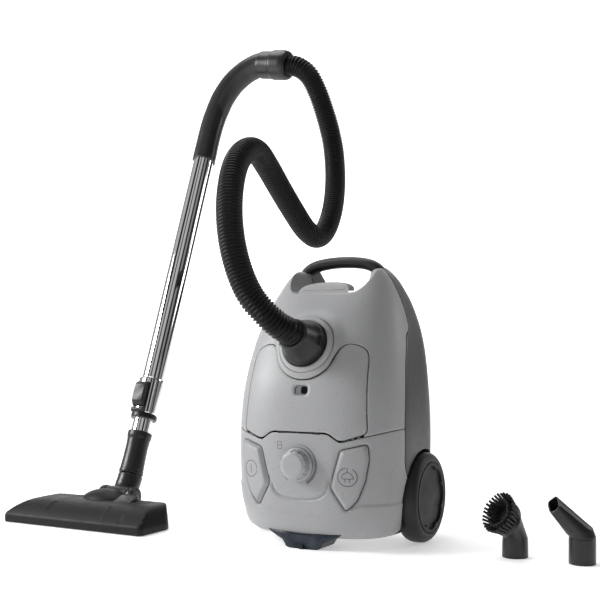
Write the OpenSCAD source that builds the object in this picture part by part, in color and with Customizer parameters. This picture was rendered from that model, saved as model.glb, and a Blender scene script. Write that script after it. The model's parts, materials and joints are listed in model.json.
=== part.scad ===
// Bagged canister vacuum cleaner, parked upright on its two big wheels and a foot, with its hose,
// telescopic wand, floor nozzle, dusting brush and crevice nozzle. Millimetres, +Z up, front towards -Y.
// The origin is on the floor under the parking foot.

/* [Housing] */
// Width of the housing at its widest level
body_w = 264; // [250:2:276]
// Thickness of the moulded shells
wall = 2.5; // [2:0.5:3]
// Visible gap between neighbouring mouldings
seam = 0.8; // [0.6:0.1:1]
// Angle of the hose inlet above the horizontal
inlet_rise = 20; // [16:1:24]

/* [Wheels] */
// Radius of the big side wheels
wheel_r = 66; // [62:1:68]
// Width of the big side wheels
wheel_w = 34; // [28:1:36]
// Distance of the wheels' outer faces from the middle of the housing
track = 143; // [141:1:146]

/* [Hose and wand] */
// Outer diameter of the hose
hose_d = 38; // [34:1:40]
// Outer diameter of the upper, chromed tube
tube_d = 37.5; // [36:0.5:39]
// Outer diameter of the lower, sliding tube
inner_d = 33; // [31:0.5:33]
// How far the wand leans back from the vertical
lean = 21; // [18:1:24]

/* [Floor nozzle] */
// Width of the floor nozzle
nozzle_w = 282; // [260:2:290]
// Depth of the floor nozzle
nozzle_d = 106; // [96:2:110]

/* [Hidden] */

GREY = "#a9aaac";
DARK = "#404144";
BLACK = "#1f2022";
NAVY = "#2c3442";
CHROME = "#d5d7da";
STEEL = "#9aa0a6";

// Levels of the housing: height, half width, front and back of the section at that height.
LEVELS = [[18, 110, -24, 141], [26, 119, -34, 148], [44, 125, -40, 152], [80, 130, -44, 155],
    [125, 132, -45, 156], [170, 132, -44, 156], [230, 128, -36, 157], [285, 120.5, -17, 157],
    [325, 110, 2, 154], [365, 94, 28, 143], [400, 70, 56, 123], [421, 30, 86, 104]];
FRONT_POWER = 2.8;
BACK_POWER = 6;
RING = 40;
base_z = LEVELS[0][0];
roof_z = 362;
horn_z = 404;

axle_y = 97;
arch_r = wheel_r + 4;
hub_r = wheel_r * 0.78;
axle_r = 5;
cup_x = track - wheel_w - 6;

inlet = [0, -17, 286];
collar_r = 42;
collar_bore = 34;
hinge = [0, -42.6, 164];
foot_y = [-36, 12];
castor = [0, 0, 300];

// Side seam between the light front mouldings and the dark rear shell: y and z.
SIDE_SEAM = [[40, 5], [40, 96], [28, 118], [28, 175], [35, 215], [45, 258], [66, 303], [81, 309],
    [86, 330], [88, 372], [88, 440]];
// Lower seam of the lid seen from the front: x and z on the right half.
LID_SEAM = [[44.5, 164], [62, 152], [135, 171]];
// Outline of a side button on the right half, x and z.
BUTTON = [[99, 151], [63, 142], [48.5, 91], [70, 57], [86, 74], [96, 100], [101, 130]];

wand_foot = [-393, 66, 38];
neck_pivot = [-393, 48, 36];
sleeve_s = [132, 203];
tube_top = 657;
// Middle line of the bent handle, across and along the wand.
HANDLE = [[0, 640], [0, 700], [3, 738], [11, 776], [27, 808], [49, 829], [64, 838],
    [79, 842]];
cuff_a = [-314, 367.8, 824];
cuff_b = [-250, 368, 815];

// Middle line of the hose, from the cuff on the handle to the connector on the lid.
HOSE = [[-250, 368, 815], [-230, 371, 809], [-212, 378, 793], [-200, 388, 765], [-190, 398, 728],
    [-181, 404, 690], [-174, 406, 650], [-166, 396, 595], [-157, 368, 540], [-150, 328, 497],
    [-146, 285, 478], [-144, 240, 487], [-142, 195, 512], [-138, 145, 541], [-131, 92, 569],
    [-121, 45, 583], [-112, 2, 578], [-104, -38, 556], [-95, -68, 522], [-85, -90, 478],
    [-73, -102, 432], [-58, -107, 390], [-40, -107, 355], [-21, -99, 330], [-8, -86, 314],
    [-1.5, -76, 308], [0, -69.2, 305], [0, -63.8, 303]];

brush_at = [278, 60, 0];
crevice_at = [368, 60, 0];

// ---- functions ----
function level(i) = LEVELS[max(0, min(len(LEVELS) - 1, i))];
function slope(i, k) = (level(i + 1)[k] - level(i - 1)[k]) / (level(i + 1)[0] - level(i - 1)[0]);
function span(z, i = 0) = i >= len(LEVELS) - 2 || z <= LEVELS[i + 1][0] ? i : span(z, i + 1);
// Smooth value of column k of LEVELS at height z.
function at_z(z, k) = let (i = span(z), h = level(i + 1)[0] - level(i)[0], t = (z - level(i)[0]) / h)
    (2 * pow(t, 3) - 3 * t * t + 1) * level(i)[k] + (pow(t, 3) - 2 * t * t + t) * h * slope(i, k)
    + (3 * t * t - 2 * pow(t, 3)) * level(i + 1)[k] + (pow(t, 3) - t * t) * h * slope(i + 1, k);
function power(v, p) = sign(v) * pow(abs(v), p);
function section_point(z, inset, a) = let (w = at_z(z, 1) * body_w / 264 - inset,
        f = at_z(z, 2) + inset, b = at_z(z, 3) - inset, p = 2 / (sin(a) < 0 ? FRONT_POWER : BACK_POWER))
    [w * power(cos(a), p), (f + b) / 2 + (b - f) / 2 * power(sin(a), p), z];
function tilt_axis(a) = [0, -cos(a), sin(a)];
function unit(v) = v / norm(v);
function tangent(p, i) = unit(p[min(i + 1, len(p) - 1)] - p[max(i - 1, 0)]);
// A sideways direction for each point of a route, carried along it without twist.
function carried(p, u, i = 0) = i >= len(p) ? [] : let (t = tangent(p, i), w = unit(u - (u * t) * t))
    concat([w], carried(p, w, i + 1));
function wand_point(x, s) = wand_foot + [x, s * sin(lean), s * cos(lean)];
function mirror_x(p) = [for (i = [len(p) - 1:-1:0]) [-p[i][0], p[i][1]]];
// Midway points of a route, so that its bends are round.
function smooth(p) = [for (i = [0:len(p) - 1], j = [0, 1]) if (i < len(p) - 1 || j == 0)
    j == 0 ? p[i] : (9 * (p[i] + p[i + 1]) - p[max(i - 1, 0)] - p[min(i + 2, len(p) - 1)]) / 16];

// ---- shared shapes ----
// A closed skin through equal rings of points.
module skin(rings) {
    n = len(rings[0]);
    m = len(rings);
    sides = [for (j = [0:m - 2], i = [0:n - 1]) let (k = (i + 1) % n)
        each [[j * n + i, j * n + k, (j + 1) * n + k], [j * n + i, (j + 1) * n + k, (j + 1) * n + i]]];
    polyhedron([for (r = rings) each r],
        concat([[for (i = [0:n - 1]) i]], [for (f = sides) [f[2], f[1], f[0]]],
            [[for (i = [0:n - 1]) m * n - 1 - i]]), convexity = 6);
}

// The housing's outer form, moved inwards by inset, from z0 to z1.
module form(inset = 0, z0 = base_z, z1 = 421) {
    n = 22;
    skin([for (j = [0:n]) [for (i = [0:RING - 1])
        section_point(z0 + (z1 - z0) * (1 - cos(180 * j / n)) / 2, inset, i * 360 / RING)]]);
}

// A round bar along a route of points.
module sweep(p, r, sides = 12, ref = [0, 1, 0]) {
    side = carried(p, ref);
    skin([for (i = [0:len(p) - 1]) let (u = side[i], v = cross(tangent(p, i), u))
        [for (a = [0:sides - 1]) p[i] + r * (cos(a * 360 / sides) * u + sin(a * 360 / sides) * v)]]);
}

module moulded() resize([0, 0, 0]) children();
module along_y(p, y0 = -200, y1 = 300) translate([0, y1, 0]) rotate([90, 0, 0])
    linear_extrude(y1 - y0) polygon(p);
module along_x(p, x0 = -300, x1 = 300) translate([x0, 0, 0]) rotate([90, 0, 90])
    linear_extrude(x1 - x0) polygon(p);
module x_rod(r, x0, x1) translate([x0, 0, 0]) rotate([0, 90, 0]) cylinder(r = r, h = x1 - x0, $fn = 64);
module y_rod(r, y0, y1) translate([0, y0, 0]) rotate([-90, 0, 0]) cylinder(r = r, h = y1 - y0, $fn = 64);
module z_ring(ro, ri, z0, z1) translate([0, 0, z0]) difference() {
    cylinder(r = ro, h = z1 - z0, $fn = 64);
    translate([0, 0, -1]) cylinder(r = ri, h = z1 - z0 + 2, $fn = 64);
}
module at_inlet() translate(inlet) rotate([90 - inlet_rise, 0, 0]) children();
module at_wand() translate(wand_foot) rotate([-lean, 0, 0]) children();
module both_sides() {
    children();
    mirror([1, 0, 0]) children();
}

module front_zone(g = 0) along_x(concat([[-120, 440], [-120, 5]], [for (p = SIDE_SEAM) p - [g, 0]]));
module rear_zone(g = 0) along_x(concat([for (p = SIDE_SEAM) p + [g, 0]], [[260, 440], [260, 5]]));
module lid_zone(g = 0) along_y(concat([for (p = concat(mirror_x(LID_SEAM), LID_SEAM)) p + [0, g]],
    [[140, 500], [-140, 500]]));
module console_zone(g = 0) along_y(concat([for (p = concat(mirror_x(LID_SEAM), LID_SEAM)) p - [0, g]],
    [[140, 0], [-140, 0]]));
// The opening under the carrying handle, and all that is above the horns.
module handle_gap() {
    along_y([[-36, 367], [36, 367], [48, 381], [50, 398], [57, 430], [-57, 430], [-50, 398], [-48, 381]]);
    translate([-150, -150, horn_z]) cube([300, 400, 60]);
}
module hollow() difference() {
    form();
    form(wall, base_z + wall, roof_z);
}
module panel_outline(g = 0) {
    arc = [for (a = [-32:8:32]) [(50 + g) * sin(a), 288 - (50 + g) * cos(a)]];
    right = [[38 + g, 262 - g], [44 + g, 282 - g], [52, 290 - g], [76 - g, 287 - g], [88 - g, 280 - g],
        [93 - g, 268 - g], [98 - g, 165 + g], [62, 153.5 + g], [45, 165.5 + g]];
    along_y(concat(arc, right, mirror_x(right)), -80, 60);
}
module button_outline(g = 0) offset(delta = -g) polygon(BUTTON);
module button_cut(g = 0) translate([0, 60, 0]) rotate([90, 0, 0]) linear_extrude(140) button_outline(g);
module skin_layer(depth, out = 0) difference() {
    form(-out);
    form(depth, base_z - out, 421 - depth);
}
module wheel_cup() translate([0, axle_y, wheel_r]) x_rod(arch_r + 2, cup_x - 2, 160);
module wheel_space() translate([0, axle_y, wheel_r]) x_rod(arch_r, cup_x, 170);
module castor_place() translate([castor[0], 0, castor[2]]) children();
module console_outline(g = 0) along_y([[-42 + g, 162 - g], [42 - g, 162 - g], [58 - g, 149 - g], [58 - g, 143],
    [44 - g, 92], [40 - g, 82 + g], [28, 74 + g], [0, 71 + g], [-28, 74 + g], [-40 + g, 82 + g],
    [-44 + g, 92], [-58 + g, 143], [-58 + g, 149 - g]], -80, 20);

// ---- housing ----
module rear_shell() color(DARK) difference() {
    moulded() difference() {
        intersection() {
            union() {
                hollow();
                intersection() {
                    form(0.2);
                    union() {
                        both_sides() wheel_cup();
                        castor_place() y_rod(28, 124, 200);
                    }
                }
            }
            rear_zone(seam / 2);
        }
        handle_gap();
        both_sides() wheel_space();
        castor_place() y_rod(26, 126, 200);
        translate([-46, 140, 66]) cube([92, 40, 56]);
        for (x = [-84, 84], z = [190, 270]) translate([x, 0, z]) {
            y_rod(2.1, 130, 170);
            y_rod(4.2, 153.4, 170);
        }
    }
    castor_place() y_rod(5.05, 110, 130);
    translate([-60, 0, 44]) y_rod(11.3, 140, 170);
    both_sides() translate([0, axle_y, wheel_r]) x_rod(axle_r + 0.2, cup_x - 10, cup_x + 4);
}

module front_housing() color(GREY) moulded() difference() {
    intersection() {
        hollow();
        front_zone(seam / 2);
        console_zone(seam / 2);
    }
    both_sides() button_cut(0);
    both_sides() wheel_space();
    intersection() {
        skin_layer(1.4, 1.5);
        console_outline(-0.3);
    }
    translate([0, 0, 120]) y_rod(5, -60, 0);
    translate(hinge) x_rod(2.2, -36, 36);
    foot_block(0.3);
}

module console_panel() color(GREY) moulded() difference() {
    intersection() {
        skin_layer(1.2);
        console_outline(0);
    }
    translate([0, 0, 120]) y_rod(5, -60, 0);
    translate(hinge) x_rod(2.4, -60, 60);
}

module inlet_hole() at_inlet() translate([0, 0, -40]) cylinder(r = collar_r + 0.3, h = 90, $fn = 96);

module lid() color(GREY) moulded() difference() {
    intersection() {
        hollow();
        front_zone(seam / 2);
        lid_zone(seam / 2);
    }
    handle_gap();
    intersection() {
        skin_layer(1.4, 1.5);
        panel_outline(-0.3);
    }
    translate([0, 0, 364]) latch_block(0.4, 30);
    translate([-13, 37, 350]) cube([26, 9, 20]);
    translate([-9.6, -60, 215.4]) cube([19.2, 60, 16.2]);
    translate(hinge) x_rod(2.2, -36, 36);
    inlet_hole();
}

module lid_panel() color(GREY) moulded() difference() {
    intersection() {
        skin_layer(1.2);
        panel_outline(0);
    }
    translate([-6, -60, 219]) cube([12, 60, 9]);
    translate(hinge) x_rod(2.4, -60, 60);
    inlet_hole();
}

module lid_seal() color(BLACK) moulded() intersection() {
    difference() {
        form(wall + 0.4, base_z + 10, roof_z - 0.5);
        form(wall + 3.4, base_z, roof_z + 10);
    }
    along_x([[18, 180], [27, 180], [58, 290], [49, 290]]);
}

module lid_hinge_pin() color(STEEL) translate(hinge) {
    x_rod(0.8, -34, 34);
    for (x = [-33, -9, 21]) difference() {
        x_rod(1.7, x, x + 12);
        x_rod(0.84, x - 1, x + 13);
    }
}

module latch_block(g = 0, depth = 12) translate([0, 60, 0]) rotate([90, 0, 0])
    linear_extrude(60 + depth) polygon([for (a = [0:15:180])
        [(39.5 + g) * cos(a), (a == 0 || a == 180 ? -g : 0) + (14 + g) * sin(a)]]);

module lid_latch() color(GREY) moulded() {
    intersection() {
        form(1, 340, 392);
        translate([0, 0, 364.4]) latch_block(0, -10);
        along_x([[20, 364.4], [42, 364.4], [50, 380], [20, 380]], -60, 60);
    }
    translate([-12, 38, 346]) cube([24, 3, 19]);
}

module latch_spring() color(STEEL) for (x = [-8, 8]) translate([x, 0, 352]) y_rod(2.5, 50.5, 58);

module inlet_collar() color(GREY) at_inlet() difference() {
    rotate_extrude($fn = 72) polygon([[collar_bore, -8], [collar_r, -8], [collar_r, 5], [40, 9], [36, 10.5],
        [collar_bore, 10]]);
}

module bag_indicator() color("#30343a") moulded() difference() {
    translate([-9, -34, 216]) cube([18, 3, 15]);
    form(-20, 400, 410);
}

module carry_handle() color(BLACK) {
    arc = [for (x = [-62:7.75:62]) [x, 100, 413 - 15 * pow(abs(x) / 62, 2.4)]];
    intersection() {
        skin([for (i = [0:len(arc) - 1]) let (t = tangent(arc, i), u = [0, 1, 0], v = cross(t, u))
            [for (a = [0:11]) arc[i] + 11 * cos(a * 30) * u + 8 * sin(a * 30) * v]]);
        translate([-80, 80, horn_z + 0.3]) cube([160, 60, 40]);
    }
}

module foot_block(g = 0) along_y([[-57 - g, 29 + g], [-50 - g, 17], [-30 - g, 12], [-24 - g, -g], [24 + g, -g],
    [30 + g, 12], [50 + g, 17], [57 + g, 29 + g]], foot_y[0] - g, foot_y[1] + g);

module parking_foot() color(NAVY) difference() {
    foot_block();
    translate([-70, foot_y[0] - 1, 18]) cube([140, 3, 20]);
    translate([-4, foot_y[0] - 1, -1]) cube([8, 20, 7]);
}

module side_button() moulded() intersection() {
    difference() {
        form(-1.2);
        form(2.2);
    }
    button_cut(seam);
}
module power_button() color(GREY) mirror([1, 0, 0]) side_button();
module rewind_button() color(GREY) side_button();
module power_switch() color(BLACK) for (x = [-88, 62]) translate([x, -18, 95]) cube([24, 14, 30]);

module speed_knob() color(GREY) translate([0, 0, 120]) {
    difference() {
        union() {
            y_rod(23.5, -51, -45.6);
            y_rod(20.5, -60, -51);
        }
        for (a = [0:30:330]) rotate([0, a, 0]) translate([24.5, 0, 0]) y_rod(2.5, -62, -40);
    }
    y_rod(4.7, -46, -26);
}

module circuit_board() color("#2e5c3a") {
    difference() {
        translate([-45, -26, 92]) cube([90, 1.6, 60]);
        translate([0, 0, 120]) y_rod(5.2, -40, 0);
    }
    translate([-10, -24.4, 110]) cube([20, 10, 20]);
    translate([22, -24.4, 128]) cube([14, 16, 18]);
}

// ---- wheels ----
module tyre() color(BLACK) translate([0, axle_y, wheel_r]) rotate([0, 90, 0]) rotate_extrude($fn = 96)
    translate([0, track - wheel_w]) polygon([[hub_r, 2], [58, 0], [63, 2], [65.4, 6], [wheel_r, 12],
        [wheel_r, 22], [65.2, 27], [62.5, 31], [58, 33.5], [hub_r, wheel_w]]);
module hub() color(DARK) translate([0, axle_y, wheel_r]) difference() {
    union() {
        x_rod(hub_r - 0.2, track - wheel_w + 4, track - 6);
        difference() {
            x_rod(hub_r - 0.2, track - 6.1, track);
            x_rod(hub_r - 4, track - 6.2, track + 1);
        }
    }
    x_rod(axle_r + 0.05, 90, track - 12);
}
module wheel_axles() color(STEEL) both_sides() translate([0, axle_y, wheel_r]) {
    x_rod(axle_r, cup_x - 12, track - 13);
    x_rod(9, cup_x - 12, cup_x - 2.3);
}
module left_tyre() mirror([1, 0, 0]) tyre();
module left_hub() mirror([1, 0, 0]) hub();
module right_tyre() tyre();
module right_hub() hub();

module castor_fork() color(DARK) castor_place() {
    y_rod(5, 112, 128);
    y_rod(20, 128, 131);
    difference() {
        for (x = [-11, 8]) translate([x, 130, -17]) cube([3, 24, 18]);
        translate([0, 151, -8]) x_rod(2.4, -14, 14);
    }
}
module castor_wheel() color(BLACK) castor_place() translate([0, 151, -8]) difference() {
    x_rod(12, -7, 7);
    x_rod(2.35, -8, 8);
}
module castor_axle() color(STEEL) castor_place() translate([0, 151, -8]) x_rod(2.3, -11, 11);

// ---- inside ----
module motor_housing() color(DARK) translate([42, 62, 0]) difference() {
    union() {
        translate([0, 0, 38]) cylinder(r = 40, h = 72, $fn = 72);
        translate([0, 0, 104]) cylinder(r = 46, h = 32, $fn = 72);
    }
    translate([0, 0, 41]) cylinder(r = 37, h = 66, $fn = 72);
    translate([0, 0, 106]) cylinder(r = 43, h = 27, $fn = 72);
    translate([0, 0, 120]) cylinder(r = 20, h = 30, $fn = 48);
}
module motor_rotor() color(STEEL) translate([42, 62, 0]) {
    translate([0, 0, 44]) cylinder(r = 4, h = 84, $fn = 32);
    translate([0, 0, 50]) cylinder(r = 30, h = 44, $fn = 64);
    translate([0, 0, 112]) cylinder(r = 40, h = 12, $fn = 64);
}
module motor_mount() color(BLACK) translate([42, 62, 0]) z_ring(48, 40.3, 24, 36);
module cable_reel() color(DARK) translate([-57, 64, 0]) difference() {
    union() {
        translate([0, 0, 52]) cylinder(r = 37, h = 3, $fn = 72);
        translate([0, 0, 54]) cylinder(r = 18, h = 44, $fn = 48);
        translate([0, 0, 97]) cylinder(r = 37, h = 3, $fn = 72);
    }
    translate([0, 0, 40]) cylinder(r = 6.05, h = 70, $fn = 48);
}
module reel_axle() color(STEEL) translate([-57, 64, base_z + wall]) {
    cylinder(r = 6, h = 88, $fn = 48);
    cylinder(r = 14, h = 26, $fn = 48);
}
module cord_outlet() color(BLACK) translate([-60, 0, 44]) difference() {
    union() {
        y_rod(11, 146, 153);
        y_rod(10, 152.3, 155);
    }
    y_rod(4, 140, 170);
}
module dust_bag() color("#e8e6df") moulded() hull() for (x = [-62, 62], z = [215, 312])
    translate([x, 72, z]) scale([1, 1.2, 1]) sphere(r = 30, $fn = 24);
module bag_plate() color("#d8cba8") at_inlet() difference() {
    translate([-46, -42, -22]) cube([92, 84, 4]);
    translate([0, 0, -30]) cylinder(r = 20, h = 20, $fn = 48);
}
module motor_filter() color("#e8e6df") translate([-60, 8, 150]) cube([150, 108, 8]);
module exhaust_filter() color("#e8e6df") translate([-44, 138, 68]) cube([88, 9, 52]);
module exhaust_grille() color(BLACK) difference() {
    translate([-45.5, 149, 66.5]) cube([91, 6, 55]);
    for (i = [0:5]) translate([-41, 140, 71 + i * 8]) cube([82, 30, 4.5]);
}
module housing_screws() color(STEEL) for (x = [-84, 84], z = [190, 270]) translate([x, 0, z]) {
    y_rod(2, 130, 153.4);
    y_rod(4, 153.4, 156);
}

// ---- hose connector, wand and handle ----
module connector() color(DARK) at_inlet() difference() {
    rotate_extrude($fn = 72) polygon([[17, -14], [28, -14], [28, 2], [33.6, 2], [33.6, 13], [32, 20], [24, 36],
        [22, 42], [22, 49], [17, 49]]);
    for (s = [-1, 1]) translate([s * 32 - 8, -7.5, 12]) cube([16, 15, 12]);
}
module clip() color(DARK) at_inlet() difference() {
    translate([27.5, -7, 12.5]) cube([5.5, 14, 11]);
    for (z = [15:2.5:20]) translate([32.4, -5.5, z]) cube([2, 11, 1]);
}
module left_clip() mirror([1, 0, 0]) clip();
module right_clip() clip();

module hose() color(BLACK) {
    p = smooth(HOSE);
    n = len(p);
    ends = [for (i = [0:n - 1]) i == 0 ? p[0] + 0.3 * (p[0] - p[1]) : i == n - 1 ? p[i] + 0.3 * (p[i] - p[i - 1]) : p[i]];
    moulded() difference() {
        sweep(p, hose_d / 2 - 0.5, 10);
        sweep(ends, hose_d / 2 - 2.8, 10);
    }
}

module hose_cuff() color(DARK) {
    d = unit(cuff_b - cuff_a);
    translate(cuff_a) rotate([0, 90 - asin(d[2]), 0]) difference() {
        union() {
            translate([0, 0, 10]) cylinder(r = 25, h = 27, $fn = 64);
            translate([0, 0, 36]) cylinder(r = 28, h = 28, $fn = 64);
        }
        translate([0, 0, -1]) cylinder(r = 19.3, h = 70, $fn = 64);
    }
}

module handle_tube() color(DARK) {
    path = [for (p = smooth(HANDLE)) wand_point(p[0], p[1])];
    moulded() difference() {
        sweep(path, 21.5, 24);
        at_wand() translate([0, 0, 600]) cylinder(r = tube_d / 2 + 0.2, h = tube_top - 600, $fn = 48);
        at_wand() translate([-7, 8, 664]) cube([14, 30, 26]);
    }
    d = unit(cuff_b - cuff_a);
    translate(cuff_a) rotate([0, 90 - asin(d[2]), 0]) cylinder(r = 19, h = 30, $fn = 64);
}
module handle_grip() color(BLACK) {
    low = [for (p = smooth(HANDLE)) if (p[1] > 730 && p[1] < 840) wand_point(p[0] + 6, p[1] - 6)];
    moulded() difference() {
        sweep(low, 20, 16);
        sweep([for (p = smooth(HANDLE)) wand_point(p[0], p[1])], 21.8, 24);
        translate(cuff_a) rotate([0, 90, 0]) cylinder(r = 30, h = 80, $fn = 48);
    }
}
module air_slide() color(BLACK) at_wand() difference() {
    translate([-6.5, 20, 664.5]) cube([13, 4, 16]);
    for (s = [668:3:677]) translate([-5, 23, s]) cube([10, 2, 1.2]);
}
module upper_tube() color(CHROME) at_wand() z_ring(tube_d / 2, inner_d / 2 + 0.6, sleeve_s[0] + 8, tube_top - 0.5);
module telescope_sleeve() color(CHROME) at_wand() difference() {
    z_ring(21.5, inner_d / 2 + 0.4, sleeve_s[0], sleeve_s[1]);
    translate([0, 0, sleeve_s[0] + 8]) cylinder(r = tube_d / 2 + 0.1, h = 90, $fn = 64);
    translate([-12, -30, 154]) cube([24, 10.6, 46]);
}
module telescope_button() color(BLACK) at_wand() translate([0, 0, 154.5]) difference() {
    translate([-11.5, -28, 0]) cube([23, 8.4, 36]);
    for (s = [6:5:26]) translate([-9, -29, s]) cube([18, 2, 2]);
}
module lower_tube() color(CHROME) at_wand() difference() {
    z_ring(inner_d / 2, inner_d / 2 - 1.2, 60, 600);
    for (s = [170:30:560]) translate([-4, -20, s]) cube([8, 5, 6]);
}
module neck_upper() color(DARK) at_wand() difference() {
    union() {
        translate([0, 0, 33.5]) cylinder(r = 21, h = 8, $fn = 64);
        translate([0, 0, 41]) cylinder(r = 19.5, h = 58, $fn = 64);
        translate([0, 0, 97]) cylinder(r = 21, h = 10, $fn = 64);
    }
    translate([0, 0, 59.8]) cylinder(r = inner_d / 2 + 0.1, h = 60, $fn = 64);
    translate([0, 0, 30]) cylinder(r = 14, h = 40, $fn = 64);
}
module neck_lower() color(DARK) difference() {
    union() {
        translate(neck_pivot) x_rod(18, -24, 24);
        at_wand() translate([0, 0, 8]) cylinder(r = 20.5, h = 25.2, $fn = 64);
        at_wand() translate([0, 0, 33]) cylinder(r = 13.7, h = 22, $fn = 64);
    }
    translate(neck_pivot) x_rod(5.05, -30, 30);
}
module neck_pin() color(STEEL) translate(neck_pivot) {
    x_rod(5, -32, 32);
    for (s = [-1, 1]) translate([s * 29.2, 0, 0]) x_rod(8, -4.5, 4.5);
}

// ---- floor nozzle ----
nozzle_x = neck_pivot[0] - nozzle_w / 2;
nozzle_y = -75;
module nozzle_plan(g = 0) offset(delta = -g) polygon(concat(
    [for (a = [180:15:270]) [8 + 8 * cos(a), 8 + 8 * sin(a)]],
    [for (a = [270:15:360]) [nozzle_w - 8 + 8 * cos(a), 8 + 8 * sin(a)]],
    [for (a = [0:15:90]) [nozzle_w - 80 + 80 * cos(a), nozzle_d - 46 + 46 * sin(a)]],
    [for (a = [90:15:180]) [80 + 80 * cos(a), nozzle_d - 46 + 46 * sin(a)]]));
module nozzle_rise(g = 0) translate([-1, 0, 0]) rotate([90, 0, 90]) linear_extrude(nozzle_w + 2)
    polygon([[-1, 0], [-1, 20 - g], [1.5, 22.5 - g], [40, 30 - g], [72, 36 - g], [92, 36 - g],
        [nozzle_d + 1, 32 - g], [nozzle_d + 1, 0]]);
module nozzle_cover() color(DARK) translate([nozzle_x, nozzle_y, 0]) difference() {
    intersection() {
        linear_extrude(60) nozzle_plan();
        nozzle_rise();
        translate([0, 0, 9]) cube([nozzle_w, nozzle_d, 60]);
    }
    intersection() {
        linear_extrude(60) nozzle_plan(3);
        nozzle_rise(3);
    }
    translate([nozzle_w / 2 - 34, 97, 0]) cube([68, 40, 60]);
    translate([nozzle_w / 2 - 26, 82, 0]) cube([52, 60, 60]);
    translate([nozzle_w / 2 + 36, 52, 20]) cube([36, 36, 60]);
}
module nozzle_base() color(BLACK) {
    translate([nozzle_x, nozzle_y, 0]) difference() {
        translate([0, 0, 2]) linear_extrude(6.7) nozzle_plan(0.3);
        translate([12, 12, 0]) cube([nozzle_w - 24, 5, 20]);
        translate([30, 30, 0]) cube([nozzle_w - 60, 16, 20]);
        for (x = [24, nozzle_w - 46]) translate([x, 66, 0]) cube([22, 22, 20]);
        translate([nozzle_w / 2 - 26, 82, 0]) cube([52, 60, 60]);
    }
    for (s = [-1, 1]) translate([neck_pivot[0] + s * 29, neck_pivot[1], neck_pivot[2]]) difference() {
        union() {
            x_rod(17, -4.2, 4.2);
            translate([-4.2, -17, -29]) cube([8.4, 28, 29]);
            translate([-4.2, -30, -29]) cube([8.4, 20, 20]);
        }
        x_rod(8.2, -6, 6);
    }
}
module nozzle_pedal() color(DARK) translate([neck_pivot[0] + 37, nozzle_y + 53, 0]) difference() {
    along_x([[0, 27], [0, 37], [20, 45], [34, 48], [34, 41], [20, 31]], 0, 34);
    translate([0, 29, 42]) x_rod(1.6, -1, 35);
}
module brush_strip() color(BLACK) translate([nozzle_x + 13, nozzle_y + 12.5, 0.2]) cube([nozzle_w - 26, 4, 16]);
module nozzle_rollers() color(BLACK) for (x = [nozzle_x + 27, nozzle_x + nozzle_w - 43])
    translate([x, nozzle_y + 77, 8]) x_rod(8, 0, 16);

// ---- loose tools ----
module dusting_brush() color(DARK) translate(brush_at) {
    difference() {
        union() {
            cylinder(r = 17.5, h = 26, $fn = 64);
            hull() {
                translate([0, 0, 25]) cylinder(r = 17.5, h = 1, $fn = 48);
                translate([-6, -8, 50]) rotate([30, -40, 0]) scale([1, 1.3, 1]) cylinder(r = 20, h = 6, $fn = 36);
            }
        }
        translate([0, 0, -1]) cylinder(r = 15.6, h = 27, $fn = 64);
    }
    translate([-6, -8, 50]) rotate([30, -40, 0]) moulded() scale([0.9, 1.2, 1])
        translate([0, 0, 5]) cylinder(r = 20, h = 20, $fn = 36);
}
module crevice_nozzle() color(DARK) translate(crevice_at) difference() {
    union() {
        cylinder(r = 17.5, h = 34, $fn = 64);
        hull() {
            translate([0, 0, 33]) cylinder(r = 17.5, h = 1, $fn = 48);
            translate([-34, -12, 76]) rotate([14, -40, 0]) cube([16, 26, 3], center = true);
        }
    }
    translate([0, 0, -1]) cylinder(r = 15.6, h = 33, $fn = 64);
}

rear_shell();
front_housing();
console_panel();
lid();
lid_panel();
lid_seal();
lid_hinge_pin();
lid_latch();
latch_spring();
inlet_collar();
bag_indicator();
carry_handle();
parking_foot();
power_button();
rewind_button();
power_switch();
speed_knob();
circuit_board();
left_tyre();
left_hub();
right_tyre();
right_hub();
wheel_axles();
castor_fork();
castor_wheel();
castor_axle();
motor_housing();
motor_rotor();
motor_mount();
cable_reel();
reel_axle();
cord_outlet();
dust_bag();
bag_plate();
motor_filter();
exhaust_filter();
exhaust_grille();
housing_screws();
connector();
left_clip();
right_clip();
hose();
hose_cuff();
handle_tube();
handle_grip();
air_slide();
upper_tube();
telescope_sleeve();
telescope_button();
lower_tube();
neck_upper();
neck_lower();
neck_pin();
nozzle_cover();
nozzle_base();
nozzle_pedal();
brush_strip();
nozzle_rollers();
dusting_brush();
crevice_nozzle();
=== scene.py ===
"""Looks of the bagged canister vacuum cleaner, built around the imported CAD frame. Lengths are in millimetres
up to mesh(), which turns them into metres."""

import json
import math

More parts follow.
